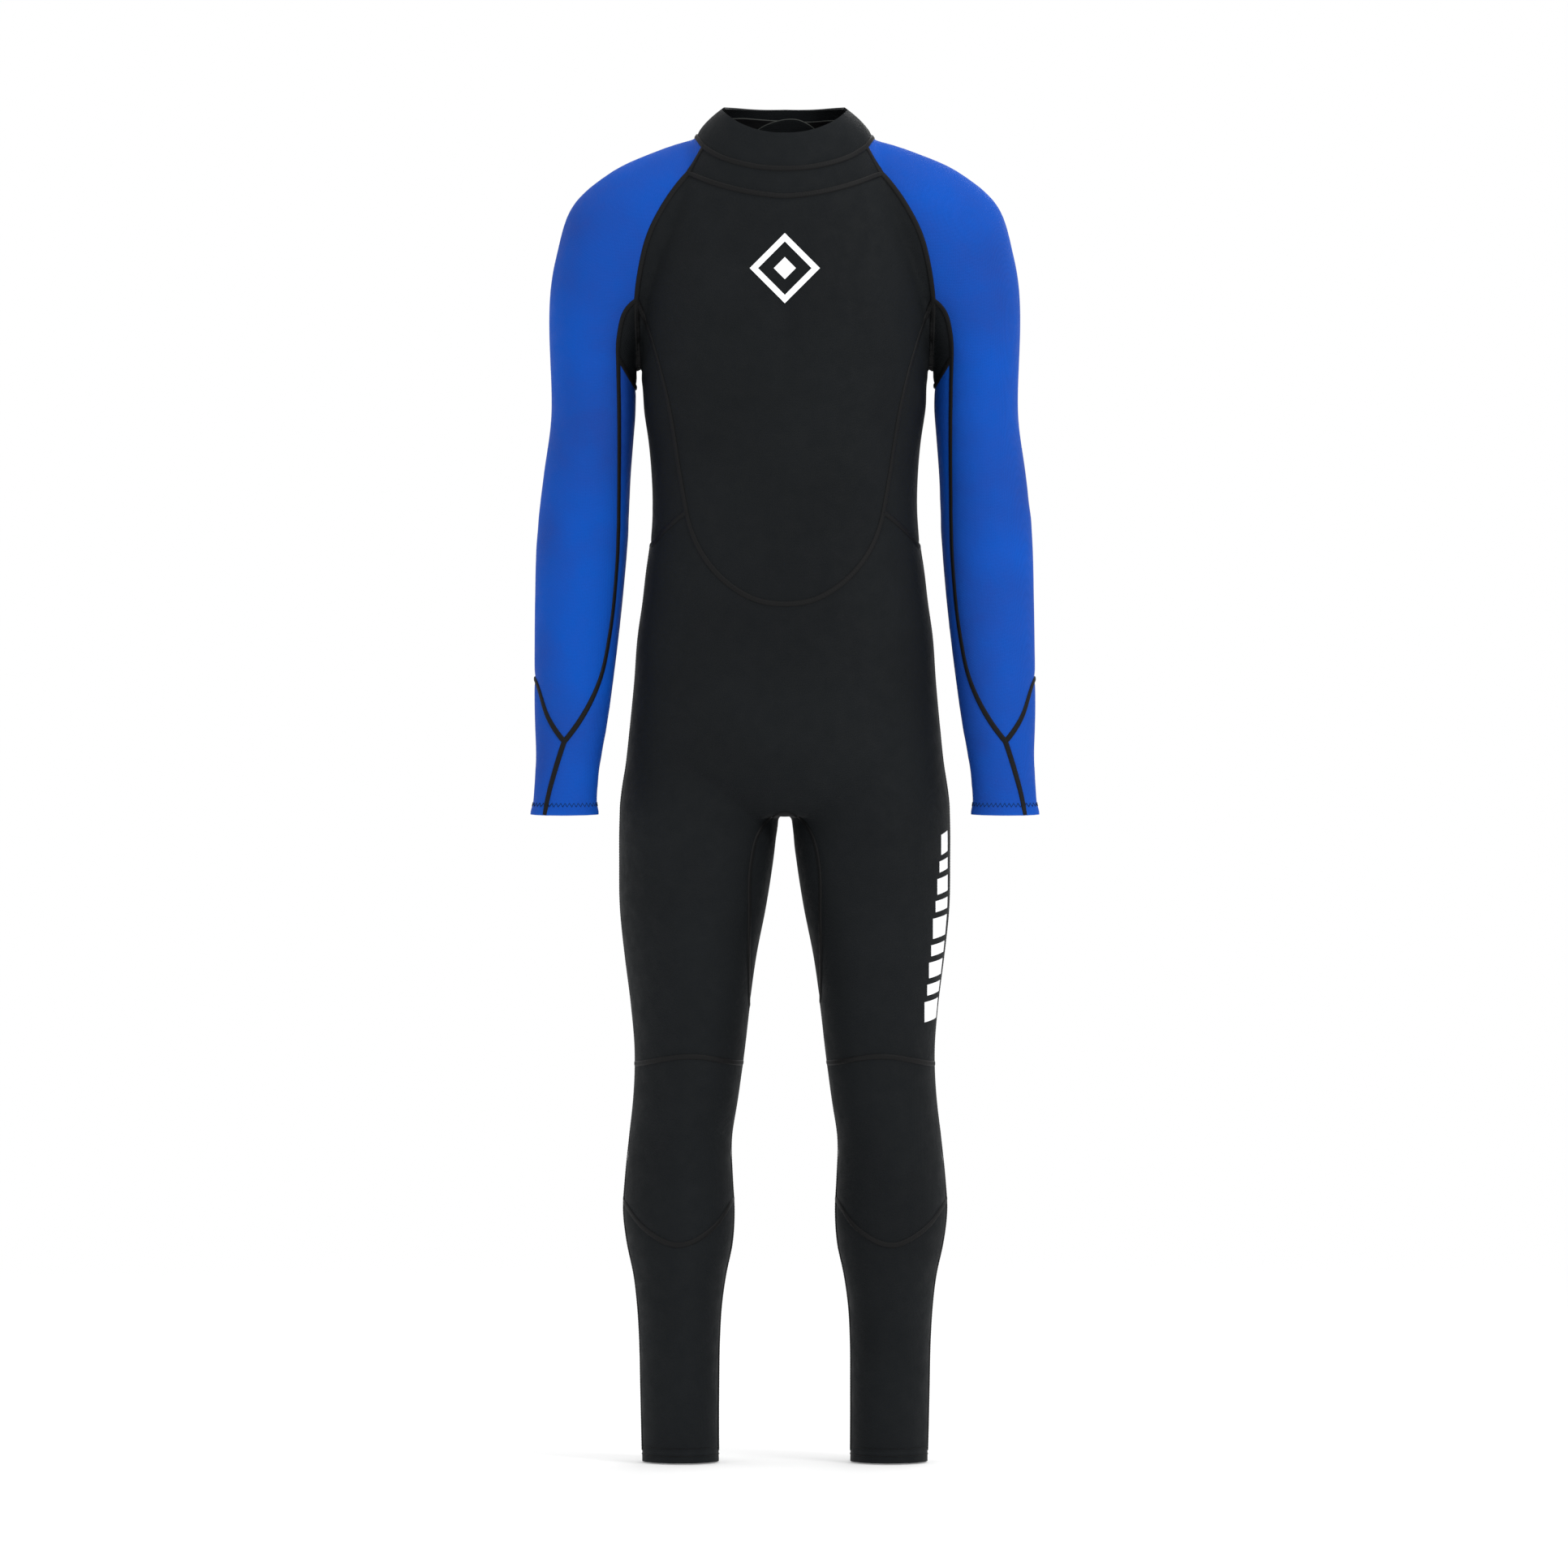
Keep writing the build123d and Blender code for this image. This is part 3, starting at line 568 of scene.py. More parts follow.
class Look:
    """A material and its nodes, which read the piece's own coordinates."""

    def __init__(self, name):
        self.material = bpy.data.materials.new(name)
        self.material.use_nodes = True
        self.nodes, self.links = self.material.node_tree.nodes, self.material.node_tree.links
        self.where = self.nodes.new("ShaderNodeTexCoord").outputs["Object"]

    def give(self, socket, value):
        """Gives a socket a number or colour, or another node's output."""
        if isinstance(value, bpy.types.NodeSocket):
            self.links.new(value, socket)
        else:
            socket.default_value = (*value, 1) if socket.type == "RGBA" else value

    def set(self, node, **values):
        for key, value in values.items():
            self.give(node.inputs[key.replace("_", " ")], value)
        return node

    def node(self, kind, **values):
        return self.set(self.nodes.new("ShaderNode" + kind), **values)

    def shader(self, **values):
        return self.set(self.nodes["Principled BSDF"], **values)

    def noise(self, scale, detail, rough):
        made = self.node("TexNoise", Scale=scale, Detail=detail, Roughness=rough, Vector=self.where)
        return made.outputs["Fac"]

    def ramp(self, value, *stops):
        """Colours, or greys given as one number, at places from 0 to 1."""
        made = self.node("ValToRGB", Fac=value)
        for stop, (position, colour) in zip(made.color_ramp.elements, stops):
            stop.position = position
            stop.color = (*colour, 1) if isinstance(colour, tuple) else (colour, colour, colour, 1)
        return made.outputs["Color"]

    def maths(self, kind, *values):
        made = self.node("Math")
        made.operation = kind
        for socket, value in zip(made.inputs, values):
            self.give(socket, value)
        return made.outputs[0]

    def mixed(self, kind, share, a, b):
        made = self.nodes.new("ShaderNodeMix")
        made.data_type = "RGBA"
        made.blend_type = kind
        for k, value in ((0, share), (6, a), (7, b)):
            self.give(made.inputs[k], value)
        return made.outputs[2]

    def bumped(self, *layers):
        """Adds bumps, each a height and its depth in metres, one over the other."""
        below = None
        for height, depth in layers:
            bump = self.node("Bump", Strength=0.6, Distance=depth, Height=height)
            if below:
                self.set(bump, Normal=below)
            below = bump.outputs["Normal"]
        self.shader(Normal=below)
        return self.material

    def knit(self, pitch):
        """The columns and courses of a fine jersey."""
        made = []
        for turn in ((0, 0, 0.6), (0, 0.9, -0.5), (0.4, 1.57, 0)):
            turned = self.node("Mapping", Rotation=turn, Vector=self.where).outputs["Vector"]
            wave = self.node("TexWave", Scale=0.314 / pitch, Distortion=1.2, Detail=1.0,
                             Detail_Scale=3.0, Vector=turned)
            made.append(wave.outputs["Fac"])
        return self.maths("MULTIPLY", self.maths("ADD", *made[:2]), made[2])


def neoprene(name, base, deep, light):
    """Jersey-lined neoprene: base colour, its deeper and lighter patches, and nap."""
    look = Look(name)
    tone = look.ramp(look.noise(7, 2, 0.55), (0.36, deep), (0.66, base))
    cloud = look.noise(60, 3, 0.6)
    tone = look.mixed("MIX", look.maths("MULTIPLY", cloud, 0.28), tone, light)
    yarn = look.knit(0.0011)
    tone = look.mixed("MULTIPLY", 0.7, tone, look.ramp(yarn, (0.0, 0.80), (0.9, 1.12)))
    edge = look.node("NewGeometry").outputs["Pointiness"]
    worn = look.maths("MULTIPLY", look.ramp(edge, (0.52, 0), (0.60, 1)), 0.22)
    tone = look.mixed("MIX", worn, tone, light)
    look.shader(Base_Color=tone, Roughness=look.ramp(cloud, (0.3, 0.66), (0.7, 0.84)),
                Specular_IOR_Level=0.13, Sheen_Weight=0.02, Sheen_Roughness=0.45, Sheen_Tint=light)
    return look.bumped((yarn, 0.00022), (look.noise(1500, 3, 0.7), 0.0001), (cloud, 0.0005))


def thread(name, base, light):
    look = Look(name)
    twist = look.noise(2200, 2, 0.6)
    tone = look.mixed("MIX", look.maths("MULTIPLY", twist, 0.6), base, light)
    faded = look.ramp(look.noise(40, 2, 0.5), (0.3, 0.7), (0.7, 1.1))
    tone = look.mixed("MULTIPLY", 0.4, tone, faded)
    look.shader(Base_Color=tone, Roughness=0.6, Specular_IOR_Level=0.15)
    return look.bumped((twist, 0.0002))


def rubber(name, base, rough, spots):
    """Smooth rubber, plastic or print: base colour, gloss, and the size of its marks."""
    look = Look(name)
    marks = look.noise(spots, 4, 0.6)
    fine = look.noise(spots * 18, 3, 0.6)
    tone = look.mixed("MULTIPLY", 0.8, base, look.ramp(marks, (0.3, 0.86), (0.7, 1.08)))
    gloss = look.ramp(fine, (0.3, rough * 0.8), (0.7, min(1, rough * 1.25)))
    look.shader(Base_Color=tone, Roughness=gloss)
    return look.bumped((fine, 0.00008), (marks, 0.0002))


def woven(name, base, light):
    look = Look(name)
    ribs = look.knit(0.0009)
    tone = look.mixed("MIX", look.maths("MULTIPLY", ribs, 0.7), base, light)
    look.shader(Base_Color=tone, Roughness=0.7)
    return look.bumped((ribs, 0.0004))


def fuzzy(name, base, light):
    """Hook or loop tape: tiny stiff curls."""
    look = Look(name)
    curls = look.node("TexVoronoi", Scale=900, Vector=look.where).outputs["Distance"]
    patch = look.noise(120, 3, 0.6)
    tone = look.mixed("MIX", curls, light, base)
    tone = look.mixed("MULTIPLY", 0.5, tone, look.ramp(patch, (0.3, 0.6), (0.7, 1.2)))
    look.shader(Base_Color=tone, Roughness=0.9, Sheen_Weight=0.5)
    return look.bumped((curls, 0.0006), (patch, 0.0005))


MATERIALS = {name: make(name, *values) for make, name, *values in (
    (neoprene, "black_neoprene",
     (0.0044, 0.0057, 0.0068), (0.0026, 0.0036, 0.0045), (0.013, 0.015, 0.0165)),
    (neoprene, "blue_neoprene", (0.0, 0.064, 0.41), (0.006, 0.046, 0.30), (0.004, 0.10, 0.47)),
    (rubber, "smooth_skin", (0.006, 0.006, 0.0065), 0.35, 60),
    (rubber, "seal_edge", (0.030, 0.034, 0.030), 0.6, 90),
    (thread, "thread", (0.0012, 0.0013, 0.0015), (0.008, 0.0085, 0.009)),
    (woven, "zip_tape", (0.006, 0.006, 0.007), (0.022, 0.022, 0.024)),
    (rubber, "zip_chain", (0.016, 0.016, 0.018), 0.4, 200),
    (rubber, "slider_plastic", (0.020, 0.021, 0.023), 0.32, 150),
    (fuzzy, "hook_and_loop", (0.006, 0.006, 0.007), (0.03, 0.03, 0.032)),
    (rubber, "white_print", (0.88, 0.88, 0.89), 0.5, 120),
)}


def finished(obj, material, body, replaces=(), blend=None, sharp=38):
    """Smooths a piece, gives it its material and ties it to its body; with blend points it is only
    baked in place.
    """
    obj.data.materials.append(MATERIALS[material])
    obj.data.polygons.foreach_set("use_smooth", [True] * len(obj.data.polygons))
    obj.data.set_sharp_from_angle(angle=math.radians(sharp))
    if replaces:
        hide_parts(*replaces)
    if blend:
        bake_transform(obj)
    else:
        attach(obj, body)
    return obj


def thickened(obj, thickness):
    """Turns a surface into a sheet with rims, thickened on the side away from its normals."""
    solid = obj.modifiers.new("solidify", "SOLIDIFY")
    solid.thickness = thickness
    solid.offset = -1.0
    solid.use_rim = True
    mesh = applied(obj)
    obj.modifiers.clear()
    old, obj.data = obj.data, mesh
    bpy.data.meshes.remove(old)
    return obj


# Skin panels. The CAD cuts each sleeve at the elbow; here it is one piece, as in the real suit.

SLEEVES = {
    "sleeve": ("upper_arm_sleeve", "elbow_sleeve", "forearm_sleeve"),
    "underside": ("upper_arm_underside", "elbow_underside", "forearm_underside"),
}
FOREARM = ("forearm_outer_panel", "wrist_hem")
KNEES = ("knee_panel", "knee_back_panel")
SHIN = ("shin_panel", "calf_panel", "ankle_hem")
PLAIN_HEMS = {"wrist_hem", "ankle_hem"}
SIDES = (("left_", 1), ("right_", -1))


def elbow_blend(side):
    return [mm(220 * side, SIDE_SEAM_Y, height) for height in ELBOW]


def knee_blend(side):
    return [mm(112 * side, SIDE_SEAM_Y, height) for height in KNEE]


def place_of(label):
    """The side and the plain name of a panel."""
    for word, side in SIDES:
        if label.startswith(word):
            return word, side, label[len(word):]
    return "", 0, label


def panel_piece(label, obj):
    word, side, name = place_of(label)
    material = "blue_neoprene" if name in SLEEVES or name in FOREARM else "black_neoprene"
    if name in SLEEVES:
        parts = [word + part for part in SLEEVES[name]]
        return finished(obj, material, word + "forearm", parts, elbow_blend(side))
    if name in KNEES:
        return finished(obj, material, word + "shin", [label], knee_blend(side))
    body = word + "forearm" if name in FOREARM else word + "shin" if name in SHIN else "suit"
    return finished(obj, material, body, [label])


def part_mesh(name, points, faces):
    used = np.unique(np.concatenate([np.array(f) for f in faces]))
    place = {int(v): k for k, v in enumerate(used)}
    return mesh_object(name, points[used], [tuple(place[v] for v in f) for f in faces])


def build_panels(points, faces, names):
    """Each panel as a sheet of its own, thickened from the cut skin."""
    by_name = {}
    for face, name in zip(faces, names):
        if name:
            by_name.setdefault(name, []).append(face)
    for label, own in by_name.items():
        obj = part_mesh(label + "_neoprene", points, own)
        panel_piece(label, thickened(obj, SKIN))


# Seams

BURIED = 0.0004  # how deep a band's edges lie in the skin
RUNG_RISE, EDGE_RISE = 0.00025, 0.00012


def chained(edges):
    """Edges joined end to end into lines of vertices."""
    near = {}
    for a, b in edges:
        near.setdefault(a, []).append(b)
        near.setdefault(b, []).append(a)
    unused = {frozenset(e) for e in edges}
    lines = []
    for start in sorted(near, key=lambda v: len(near[v]) == 2):
        for step in near[start]:
            if frozenset((start, step)) not in unused:
                continue
            line = [start, step]
            unused.discard(frozenset((start, step)))
            while len(near[line[-1]]) == 2:
                ahead = [v for v in near[line[-1]] if frozenset((line[-1], v)) in unused]
                if not ahead:
                    break
                unused.discard(frozenset((line[-1], ahead[0])))
                line.append(ahead[0])
            lines.append(line)
    return lines


def even_line(points, step, passes=6):
    """A smooth line at even steps through points."""
    closed = np.linalg.norm(points[0] - points[-1]) < 1e-6 and len(points) > 4
    for _ in range(passes):
        inner = (points[:-2] + points[2:]) / 2
        points = np.concatenate([points[:1], 0.5 * points[1:-1] + 0.5 * inner, points[-1:]])
    along = np.concatenate([[0], np.cumsum(np.linalg.norm(np.diff(points, axis=0), axis=1))])
    at = np.linspace(0, along[-1], max(3, int(round(along[-1] / step)) + 1))
    fine = np.stack([np.interp(at, along, points[:, k]) for k in range(3)], axis=1)
    for _ in range(passes):
        inner = (fine[:-2] + fine[2:]) / 2
        fine[1:-1] = 0.5 * fine[1:-1] + 0.5 * inner
        if closed:
            fine[0] = fine[-1] = (fine[1] + fine[-2]) / 2
    return fine


def tangents(line):
    along = np.gradient(line, axis=0)
    return along / (np.linalg.norm(along, axis=1)[:, None] + 1e-12)


def grid_faces(rows, columns, closed=False):
    """Faces between rows of points; closed where each row is a ring."""
    faces = []
    for row in range(rows - 1):
        for k in range(columns if closed else columns - 1):
            a, b = row * columns + k, row * columns + (k + 1) % columns
            faces.append((a, b, b + columns, a + columns))
    return faces


def added(found, points, faces):
    """Adds a piece's points and faces to those found so far."""
    start = len(found[0])
    found[0].extend(points)
    found[1].extend(tuple(v + start for v in face) for face in faces)


def banded(surface, line):
    """A raised flatlock band along a line on the skin, with a rung at every third step."""
    across = np.linspace(-1, 1, 7)
    domed = BAND_RISE * (1 - np.abs(across) ** 5)
    domed[[0, -1]] = -BURIED
    domed[[1, 5]] += EDGE_RISE
    points = []
    for row, (place, along) in enumerate(zip(line, tangents(line))):
        on_skin, normal = surface.nearest(place)
        sideways = np.cross(normal, along)
        sideways /= np.linalg.norm(sideways)
        for k, share in enumerate(across):
            spot, out = surface.nearest(on_skin + sideways * share * BAND_WIDTH / 2)
            rung = row % LADDER == 0 and 1 < k < 5
            points.append(spot + out * (domed[k] + (RUNG_RISE if rung else 0)))
    return points, [(a, d, c, b) for a, b, c, d in grid_faces(len(line), len(across))]


def seam_group(pair):
    """The group, trunk or one limb, that a seam between two panels is gathered into."""
    places = [place_of(label) for label in pair]
    word = next((word for word, _, _ in places if word), "")
    kinds = {name for _, _, name in places}
    if kinds & {*SLEEVES, *FOREARM, "underarm_gusset"}:
        return word + "arm"
    if kinds & {*KNEES, *SHIN}:
        return word + "leg"
    return "trunk"


def stem_line(surface, side, turn):
    """The sleeve's lowest seam runs on over the wrist hem, in front and behind."""
    look = surface.ahead_of if turn < 0 else surface.behind
    heights = np.linspace(WRIST_HEM + 1, CUFF + 0.3, 12)
    return np.array([look(side * (263.2 - (h - 696) * 0.15), h)[0] for h in heights])


def build_seams(surface, points, seam_edges):
    groups = {}
    for pair, edges in sorted(seam_edges.items()):
        found = groups.setdefault(seam_group(pair), ([], []))
        for chain in chained(edges):
            if len(chain) >= 3:
                added(found, *banded(surface, even_line(points[chain], BAND_STEP)))
    for word, side in SIDES:
        for turn in (-1, 1):
            added(groups[word + "arm"], *banded(surface, stem_line(surface, side, turn)))
    for group, (spots, faces) in groups.items():
        word, side, limb = place_of(group)
        body, blend = {
            "trunk": ("suit", None),
            "arm": (word + "forearm", elbow_blend(side)),
            "leg": (word + "shin", knee_blend(side)),
        }[limb]
        seams = mesh_object(group + "_flatlock_seams", spots, faces)
        finished(seams, "thread", body, (), blend, 60)


# Stitching

THREAD = 0.0003  # its radius
THREAD_SIDES = 6
STITCH_HIGH, STITCH_LOW = 0.0003, 0.00002  # a stitch's two ends above the skin
WRIST_STITCHES, ZIGZAG, ZIGZAG_THREAD = 76, 2.0, 0.00036
ANKLE_STITCHES, ANKLE_ROW = 220, 4.2


def tube_along(line, radius):
    """A thin tube's points and faces along a line."""
    points = []
    for place, along in zip(line, tangents(line)):
        one = np.cross(along, (0.31, 0.52, 0.79))
        one /= np.linalg.norm(one)
        two = np.cross(along, one)
        for k in range(THREAD_SIDES):
            angle = 2 * math.pi * k / THREAD_SIDES
            points.append(place + radius * (math.cos(angle) * one + math.sin(angle) * two))
    faces = grid_faces(len(line), THREAD_SIDES, True)
    faces.append(tuple(range(THREAD_SIDES)))
    faces.append(tuple(len(points) - 1 - k for k in range(THREAD_SIDES)))
    return points, faces


def thread_object(name, lines, radius, body, material="thread"):
    found = ([], [])
    for line in lines:
        added(found, *tube_along(np.array(line), radius))
    return finished(mesh_object(name, *found), material, body, sharp=80)


def stitches(places, first=0):
    """Stitches through places and normals on the skin, with one end of each sunk."""
    return [p + n * (STITCH_LOW if k % 2 else STITCH_HIGH)
            for k, (p, n) in enumerate(places, first)]


def round_limb(surface, centre, height, reach, count):
    """Places and outward normals round a limb at one height, back to the first."""
    turns = [2 * math.pi * k / count for k in [*range(count), 0]]
    return [surface.round(centre, height, angle, reach) for angle in turns]


def hem_stitches(surface):
    """Zigzag stitches round the wrists and a double row round the ankles."""
    for word, side in SIDES:
        rows = [round_limb(surface, (239 * side, -30), WRIST_HEM + h, 0.044, WRIST_STITCHES)
                for h in (-ZIGZAG, ZIGZAG)]
        ends = [rows[k % 2][k] for k in range(WRIST_STITCHES + 1)]
        line = [place + normal * 0.00012 for place, normal in ends]
        thread_object(word + "wrist_stitching", [line], ZIGZAG_THREAD, word + "forearm")
        lines = [stitches(round_limb(surface, (114 * side, 12), ANKLE_HEM + h, 0.07, ANKLE_STITCHES))
                 for h in (ANKLE_ROW, -ANKLE_ROW)]
        thread_object(word + "ankle_stitching", lines, THREAD, word + "shin")


# Collar

TAB = (-33.5, 33.5, 1437.5, 1464.5)  # least and most x, least and most height
HOOKS = (-31.5, -4.5, 1439.5, 1462.5)
LOOPS = (-32.5, 9.5, 1438.5, 1463.5)
SEAL_BOTTOM, SEAL_TOP, SEAL_BELOW_RIM = 1430, 1468, 8
SEAL_COLUMNS, SEAL_ROWS, SEAL_HEIGHT = 160, 15, 0.036
EDGE_THREAD = 0.0006
FLAP_TOP = [(-45, 1440), (-30, 1455), (-8, 1464), (16, 1465), (32, 1457), (45, 1440)]
FLAP_BOTTOM, FLAP_ROWS, FLAP_COLUMNS = 975, 160, 31


def rounded(u, v, wide, tall, corner):
    """A place in a rounded rectangle, for u and v from -1 to 1."""
    x, y = u * wide, v * tall
    cx, cy = max(abs(x) - (wide - corner), 0), max(abs(y) - (tall - corner), 0)
    if cx and cy:
        pull = max(cx, cy) / math.hypot(cx, cy)
        x = math.copysign(wide - corner + cx * pull, x)
        y = math.copysign(tall - corner + cy * pull, y)
    return x, y


def pad_on_back(surface, name, limits, out, thickness, corner):
    """A rounded patch lying along the back of the collar, so far outside the skin."""
    low_x, high_x, low_z, high_z = limits
    wide, tall = (high_x - low_x) / 2, (high_z - low_z) / 2
    rows, columns = 2 * round(tall) + 1, 2 * round(wide) + 1
    points = []
    for j in range(rows):
        for i in range(columns):
            px, pz = rounded(2 * i / (columns - 1) - 1, 2 * j / (rows - 1) - 1, wide, tall, corner)
            place, normal = surface.behind(px + (low_x + high_x) / 2, pz + (low_z + high_z) / 2)
            points.append(place + normal * out / 1000)
    obj = mesh_object(name, points, [face[::-1] for face in grid_faces(rows, columns)])
    edge = [*range(columns), *range(2 * columns - 1, rows * columns, columns),
            *range(rows * columns - 2, (rows - 1) * columns - 1, -1),
            *range((rows - 2) * columns, -1, -columns)]
    return thickened(obj, thickness / 1000), np.array(points), edge


def closure(surface):
    """The collar's tab with its hooks, the loops it closes on, and their stitching."""
    tab, points, edge = pad_on_back(surface, "closure_tab_pad", TAB, 5.0, 2.5, 7)
    finished(tab, "black_neoprene", "closure_tab", ["collar_closure_tab"])
    middle, lift = points.mean(axis=0), np.array([0, 0.00025, 0])
    seam = [p + (middle - p) * 0.07 + lift for p in points[edge]]
    thread_object("closure_tab_stitching", [seam], 0.00035, "closure_tab")
    hook, _, _ = pad_on_back(surface, "closure_tab_hooks", HOOKS, 2.2, 0.9, 4)
    finished(hook, "hook_and_loop", "closure_tab", ["closure_hook_patch"])
    loop, _, _ = pad_on_back(surface, "collar_loops", LOOPS, 1.15, 1.0, 4)
    finished(loop, "hook_and_loop", "suit", ["closure_loop_patch"])


def neck_seal(surface):
    """The smooth-skin seal inside the collar, with the fine edge that shows over its front."""
    points = []
    rim, over = spaced(COLLAR_RIM, 2), spaced(COLLAR_TOP, 2)
    for j in range(SEAL_ROWS):
        share = j / (SEAL_ROWS - 1)
        for k in range(SEAL_COLUMNS):
            angle = 2 * math.pi * k / SEAL_COLUMNS
            x = abs(80 * math.cos(angle))
            top = np.interp(x, *rim.T) - SEAL_BELOW_RIM if math.sin(angle) < 0 else SEAL_TOP
            top = min(top, np.interp(x, *over.T) - SEAL_BELOW_RIM)
            top += 2.0 * math.sin(3 * angle + 0.8) - 2
            place, normal = surface.round((0, 0), SEAL_BOTTOM + (top - SEAL_BOTTOM) * share, angle)
            points.append(place - normal * (0.0037 + 0.0012 * share ** 3))
    obj = mesh_object("neck_seal_lining", points, grid_faces(SEAL_ROWS, SEAL_COLUMNS, True))
    finished(thickened(obj, 0.0013), "smooth_skin", "suit", ["neck_seal"])
    edge = points[-SEAL_COLUMNS:]
    thread_object("neck_seal_edge", [[*edge, edge[0]]], EDGE_THREAD, "suit", "seal_edge")


def backing_flap(surface):
    """The flap behind the zip, whose top is an arch inside the collar."""
    arch = spaced(FLAP_TOP, 2)
    points = []
    for j in range(FLAP_ROWS):
        for i in range(FLAP_COLUMNS):
            x = -45 + 90 * i / (FLAP_COLUMNS - 1)
            rise = (np.interp(x, *arch.T) - FLAP_BOTTOM) * j / (FLAP_ROWS - 1)
            place, normal = surface.behind(x, FLAP_BOTTOM + rise)
            points.append(place - normal * 0.0056)
    faces = [face[::-1] for face in grid_faces(FLAP_ROWS, FLAP_COLUMNS)]
    obj = thickened(mesh_object("zip_flap", points, faces), 0.0018)
    finished(obj, "black_neoprene", "suit", ["zip_backing_flap"])
    edge = [p + np.array([0, -0.0009, 0]) for p in points[-FLAP_COLUMNS:]]
    thread_object("zip_flap_edge", [edge], EDGE_THREAD, "suit", "seal_edge")


# Zip

ZIP_LEAN = 0.019996  # sine of its forward lean
ZIP_ALONG = 0.9998  # and cosine
TAPE_ROWS, TAPE_BELOW, TAPE_LENGTH = 300, 8, 430
TAPE = [(0.4, -4.5), (0.4, -3.9), (3.6, -3.9), (4.2, -3.75), (4.8, -3.9), (11, -3.95),
        (11.7, -3.85), (12.4, -3.95), (17.8, -3.95), (17.8, -4.5)]  # across and outwards
TAPE_STITCHES, STITCHES_FROM, STITCHES_TALL = 300, 985, 440


def zip_point(u, w, n):
    """A place by its distances across the zip, along it and outwards, in millimetres."""
    y = 106.24 - ZIP_LEAN * w + ZIP_ALONG * n
    return mm(-u, y, ZIP_BOTTOM + ZIP_ALONG * w + ZIP_LEAN * n)


def zip_tapes():
    """Two woven tapes with beaded edges and ribs."""
    for word, side in SIDES:
        points = []
        for j in range(TAPE_ROWS):
            w = -TAPE_BELOW + TAPE_LENGTH * j / (TAPE_ROWS - 1)
            ripple = 0.05 if j % 2 else 0
            points += [zip_point(-u * side, w, n + (ripple if n > -4 else 0)) for u, n in TAPE]
        faces = grid_faces(TAPE_ROWS, len(TAPE), True)
        faces += [tuple(range(len(TAPE))), tuple(range(len(points) - len(TAPE), len(points)))]
        obj = mesh_object(word + "woven_tape", points, faces)
        faced_outwards(obj)
        finished(obj, "zip_tape", "suit", [word + "zip_tape"])


def zip_edge_stitches(surface):
    """The stitches that hold the tapes, beside the slot in the back."""
    heights = [STITCHES_FROM + STITCHES_TALL * k / (TAPE_STITCHES - 1) for k in range(TAPE_STITCHES)]
    for word, side in SIDES:
        lines = [stitches([surface.behind(side * (ZIP_HALF_GAP + away), h) for h in heights], 1)
                 for away in (3.2, 9.5)]
        thread_object(word + "zip_stitching", lines, THREAD, "suit")


def dress_cad():
    """The zip's hard parts keep their CAD shapes and get moulded plastic."""
    looks = {
        "zip_chain": ("left_zip_teeth", "right_zip_teeth", "zip_bottom_stop", "zip_top_stops"),
        "slider_plastic": ("zip_slider", "pull_tab"),
    }
    for material, nodes in looks.items():
        for node in nodes:
            mesh = bpy.data.objects[node].data
            mesh.materials.clear()
            mesh.materials.append(MATERIALS[material])


# Prints

EMBLEM_HEIGHT, EMBLEM_SIZE, EMBLEM_HOLE, EMBLEM_HEART = 1303.0, 38.0, 29.0, 12.0
EMBLEM_STEPS = 13
PRINT_BARS = [22, 12, 17, 12, 22, 12, 17, 12, 22]
PRINT_GAP, PRINT_TILT, PRINT_COLUMNS = 7, 4, 22
PRINT_START, PRINT_LEAN = (152.0, 482.0), 0.1
PRINT_RISE, PRINT_THICKNESS = 0.00035, 0.0004
THIGH_X, PRINT_TURN = 103, -0.25  # the thigh's middle, and where round it the bars end


def printed(name, patches, node):
    """Patches of print, each a grid of places already on the skin."""
    found = ([], [])
    for spots, rows, columns in patches:
        added(found, spots, grid_faces(rows, columns))
    obj = thickened(mesh_object(name, *found), PRINT_THICKNESS)
    finished(obj, "white_print", "suit", [node], sharp=60)


def emblem(surface):
    """A square frame on its corner, round a small solid square."""
    corners = [(0, 1), (1, 0), (0, -1), (-1, 0)]
    patches = []
    for (x0, z0), (x1, z1) in zip(corners, corners[1:] + corners[:1]):
        for near, far, across in ((EMBLEM_HOLE, EMBLEM_SIZE, 4), (0, EMBLEM_HEART, 5)):
            spots = []
            for j in range(across):
                reach = near + (far - near) * j / (across - 1)
                for i in range(EMBLEM_STEPS):
                    t = i / (EMBLEM_STEPS - 1)
                    x, z = reach * (x0 + (x1 - x0) * t), reach * (z0 + (z1 - z0) * t)
                    place, normal = surface.ahead_of(x, z + EMBLEM_HEIGHT)
                    spots.append(place + normal * PRINT_RISE)
            patches.append((spots, across, EMBLEM_STEPS))
    printed("chest_mark", patches, "chest_emblem")


def thigh_bars(surface):
    """Plain bars up the outside of the wearer's left thigh."""
    patches = []
    x, z = PRINT_START
    for tall in PRINT_BARS:
        spots, rows = [], max(3, round(tall / 2))
        for j in range(rows):
            height = z + tall * j / (rows - 1)
            edge, _ = surface.ahead_of(x + PRINT_LEAN * (z - PRINT_START[1]), height)
            start = math.atan2(edge[1], edge[0] - THIGH_X / 1000)
            for i in range(PRINT_COLUMNS):
                share = i / (PRINT_COLUMNS - 1)
                angle = start + (PRINT_TURN - start) * share
                place, normal = surface.round((THIGH_X, 0), height + PRINT_TILT * share, angle)
                spots.append(place + normal * PRINT_RISE)
        patches.append((spots, rows, PRINT_COLUMNS))
        z += tall + PRINT_GAP
    printed("thigh_bars", patches, "left_thigh_print")


# Studio

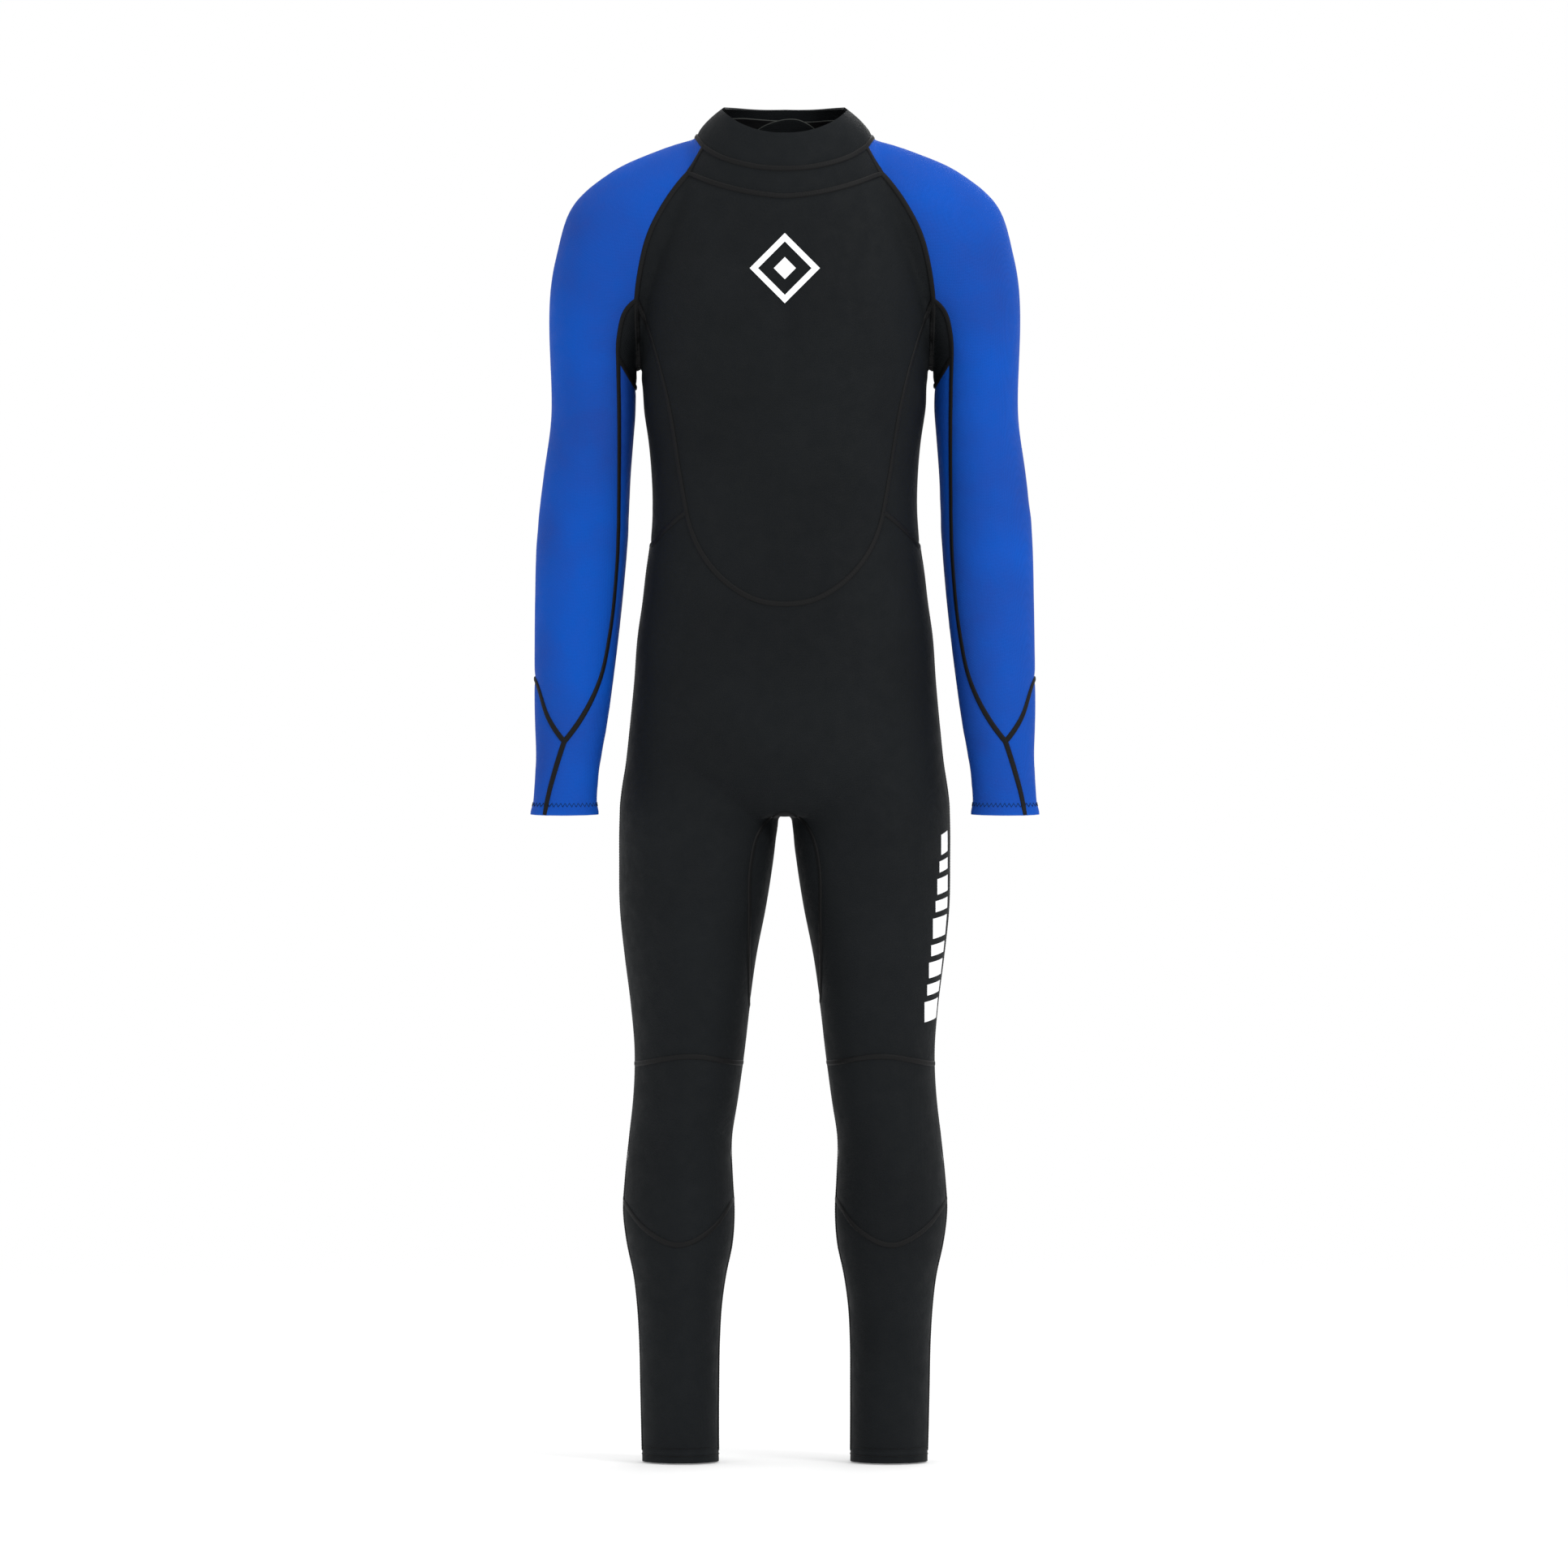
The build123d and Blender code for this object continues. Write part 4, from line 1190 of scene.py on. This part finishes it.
FLOOR = -1.4415  # just under the ankle hems
LAMPS = [  # name, place, size, watts
    ("key", (2.4, -2.6, 1.5), 1.0, 60), ("fill", (-2.6, -2.4, -0.2), 1.8, 8),
    ("top", (0.4, 0.2, 2.3), 1.6, 24), ("behind", (0.6, 3.0, 0.8), 1.8, 24),
]
CAMERA_X, CAMERA_AWAY, AIM_HEIGHT, VIEW_WIDTH = -0.0009, 20.0, -0.70, 1.7098


def fading_floor():
    """A pale floor that fades into the room."""
    bpy.ops.mesh.primitive_circle_add(vertices=96, radius=7, fill_type="NGON", location=(0, 0, FLOOR))
    floor = bpy.context.object
    floor.name = "floor"
    look = Look("floor")
    far = look.node("VectorMath")
    far.operation = "LENGTH"
    look.links.new(look.where, far.inputs[0])
    fade = look.node("MapRange", Value=far.outputs["Value"], From_Min=0.5, From_Max=4.0,
                     To_Min=0.75, To_Max=0.0)
    fade.interpolation_type = "SMOOTHERSTEP"
    look.shader(Base_Color=(0.9, 0.9, 0.9), Roughness=0.9, Alpha=fade.outputs["Result"])
    floor.data.materials.append(look.material)


def aimed(obj, place, aim):
    obj.location = place
    obj.rotation_euler = (aim - Vector(place)).to_track_quat("-Z", "Y").to_euler()
    return (aim - Vector(place)).length


def studio():
    """A white room, the floor, soft lamps and the camera."""
    scene = bpy.context.scene
    scene.world = bpy.data.worlds.new("room")
    scene.world.use_nodes = True
    room = scene.world.node_tree.nodes["Background"]
    room.inputs["Color"].default_value = (1, 1, 1, 1)
    room.inputs["Strength"].default_value = 1.0
    fading_floor()
    for name, place, size, watts in LAMPS:
        lamp = bpy.data.lights.new(name, "AREA")
        lamp.size = size
        lamp.energy = watts
        aimed(link(bpy.data.objects.new(name, lamp)), place, Vector((0, 0, -0.6)))
    camera = link(bpy.data.objects.new("camera", bpy.data.cameras.new("camera")))
    distance = aimed(camera, (CAMERA_X, -CAMERA_AWAY, 0.0), Vector((CAMERA_X, 0, AIM_HEIGHT)))
    camera.data.sensor_width = 36
    camera.data.lens = camera.data.sensor_width * distance / VIEW_WIDTH
    camera.data.clip_start, camera.data.clip_end = 0.5, 80
    scene.camera = camera
    scene.view_settings.view_transform = "Standard"
    scene.view_settings.look = "None"


# The whole suit

def filled_names(bm, names):
    """Gives each face that no outline holds the name of a face beside it."""
    bm.faces.ensure_lookup_table()
    for index in np.flatnonzero(names == ""):
        beside = [f.index for e in bm.faces[index].edges for f in e.link_faces if f.index != index]
        names[index] = next(names[k] for k in beside if names[k] != "")


def skin_data(mesh):
    """The cut skin's points and faces, each face's panel, and the edges between panels."""
    bm = bmesh.new()
    bm.from_mesh(mesh)
    cut_skin(bm)
    bm.verts.index_update()
    bm.faces.index_update()
    names = label_faces(bm)
    filled_names(bm, names)
    seams = {}
    for edge in bm.edges:
        if len(edge.link_faces) == 2:
            a, b = (names[f.index] for f in edge.link_faces)
            if a != b and a and b and not PLAIN_HEMS & {place_of(a)[2], place_of(b)[2]}:
                seams.setdefault(tuple(sorted((a, b))), []).append([v.index for v in edge.verts])
    points = np.array([v.co for v in bm.verts])
    faces = [tuple(v.index for v in f.verts) for f in bm.faces]
    bm.free()
    return points, faces, names, seams


def sunk_at_seams(surface, points, seams, depth=0.0009, reach=0.006):
    """Pulls the skin in beside its seams, as the stitches do."""
    on_seam = sorted({v for edges in seams.values() for e in edges for v in e})
    tree = kdtree.KDTree(len(on_seam))
    for k, v in enumerate(on_seam):
        tree.insert(points[v], k)
    tree.balance()
    sunk = points.copy()
    for k, point in enumerate(points):
        distance = tree.find(point)[2]
        if distance < 0.016:
            _, normal = surface.nearest(point)
            sunk[k] -= normal * depth * math.exp(-((distance / reach) ** 2))
    return sunk


def build():
    mesh = shaped_skin()
    surface = Surface(mesh)
    points, faces, names, seams = skin_data(mesh)
    points = sunk_at_seams(surface, points, seams)
    build_panels(points, faces, names)
    build_seams(surface, points, seams)
    for piece in (hem_stitches, closure, neck_seal, backing_flap):
        piece(surface)
    zip_tapes()
    for piece in (zip_edge_stitches, emblem, thigh_bars):
        piece(surface)
    dress_cad()
    studio()


build()
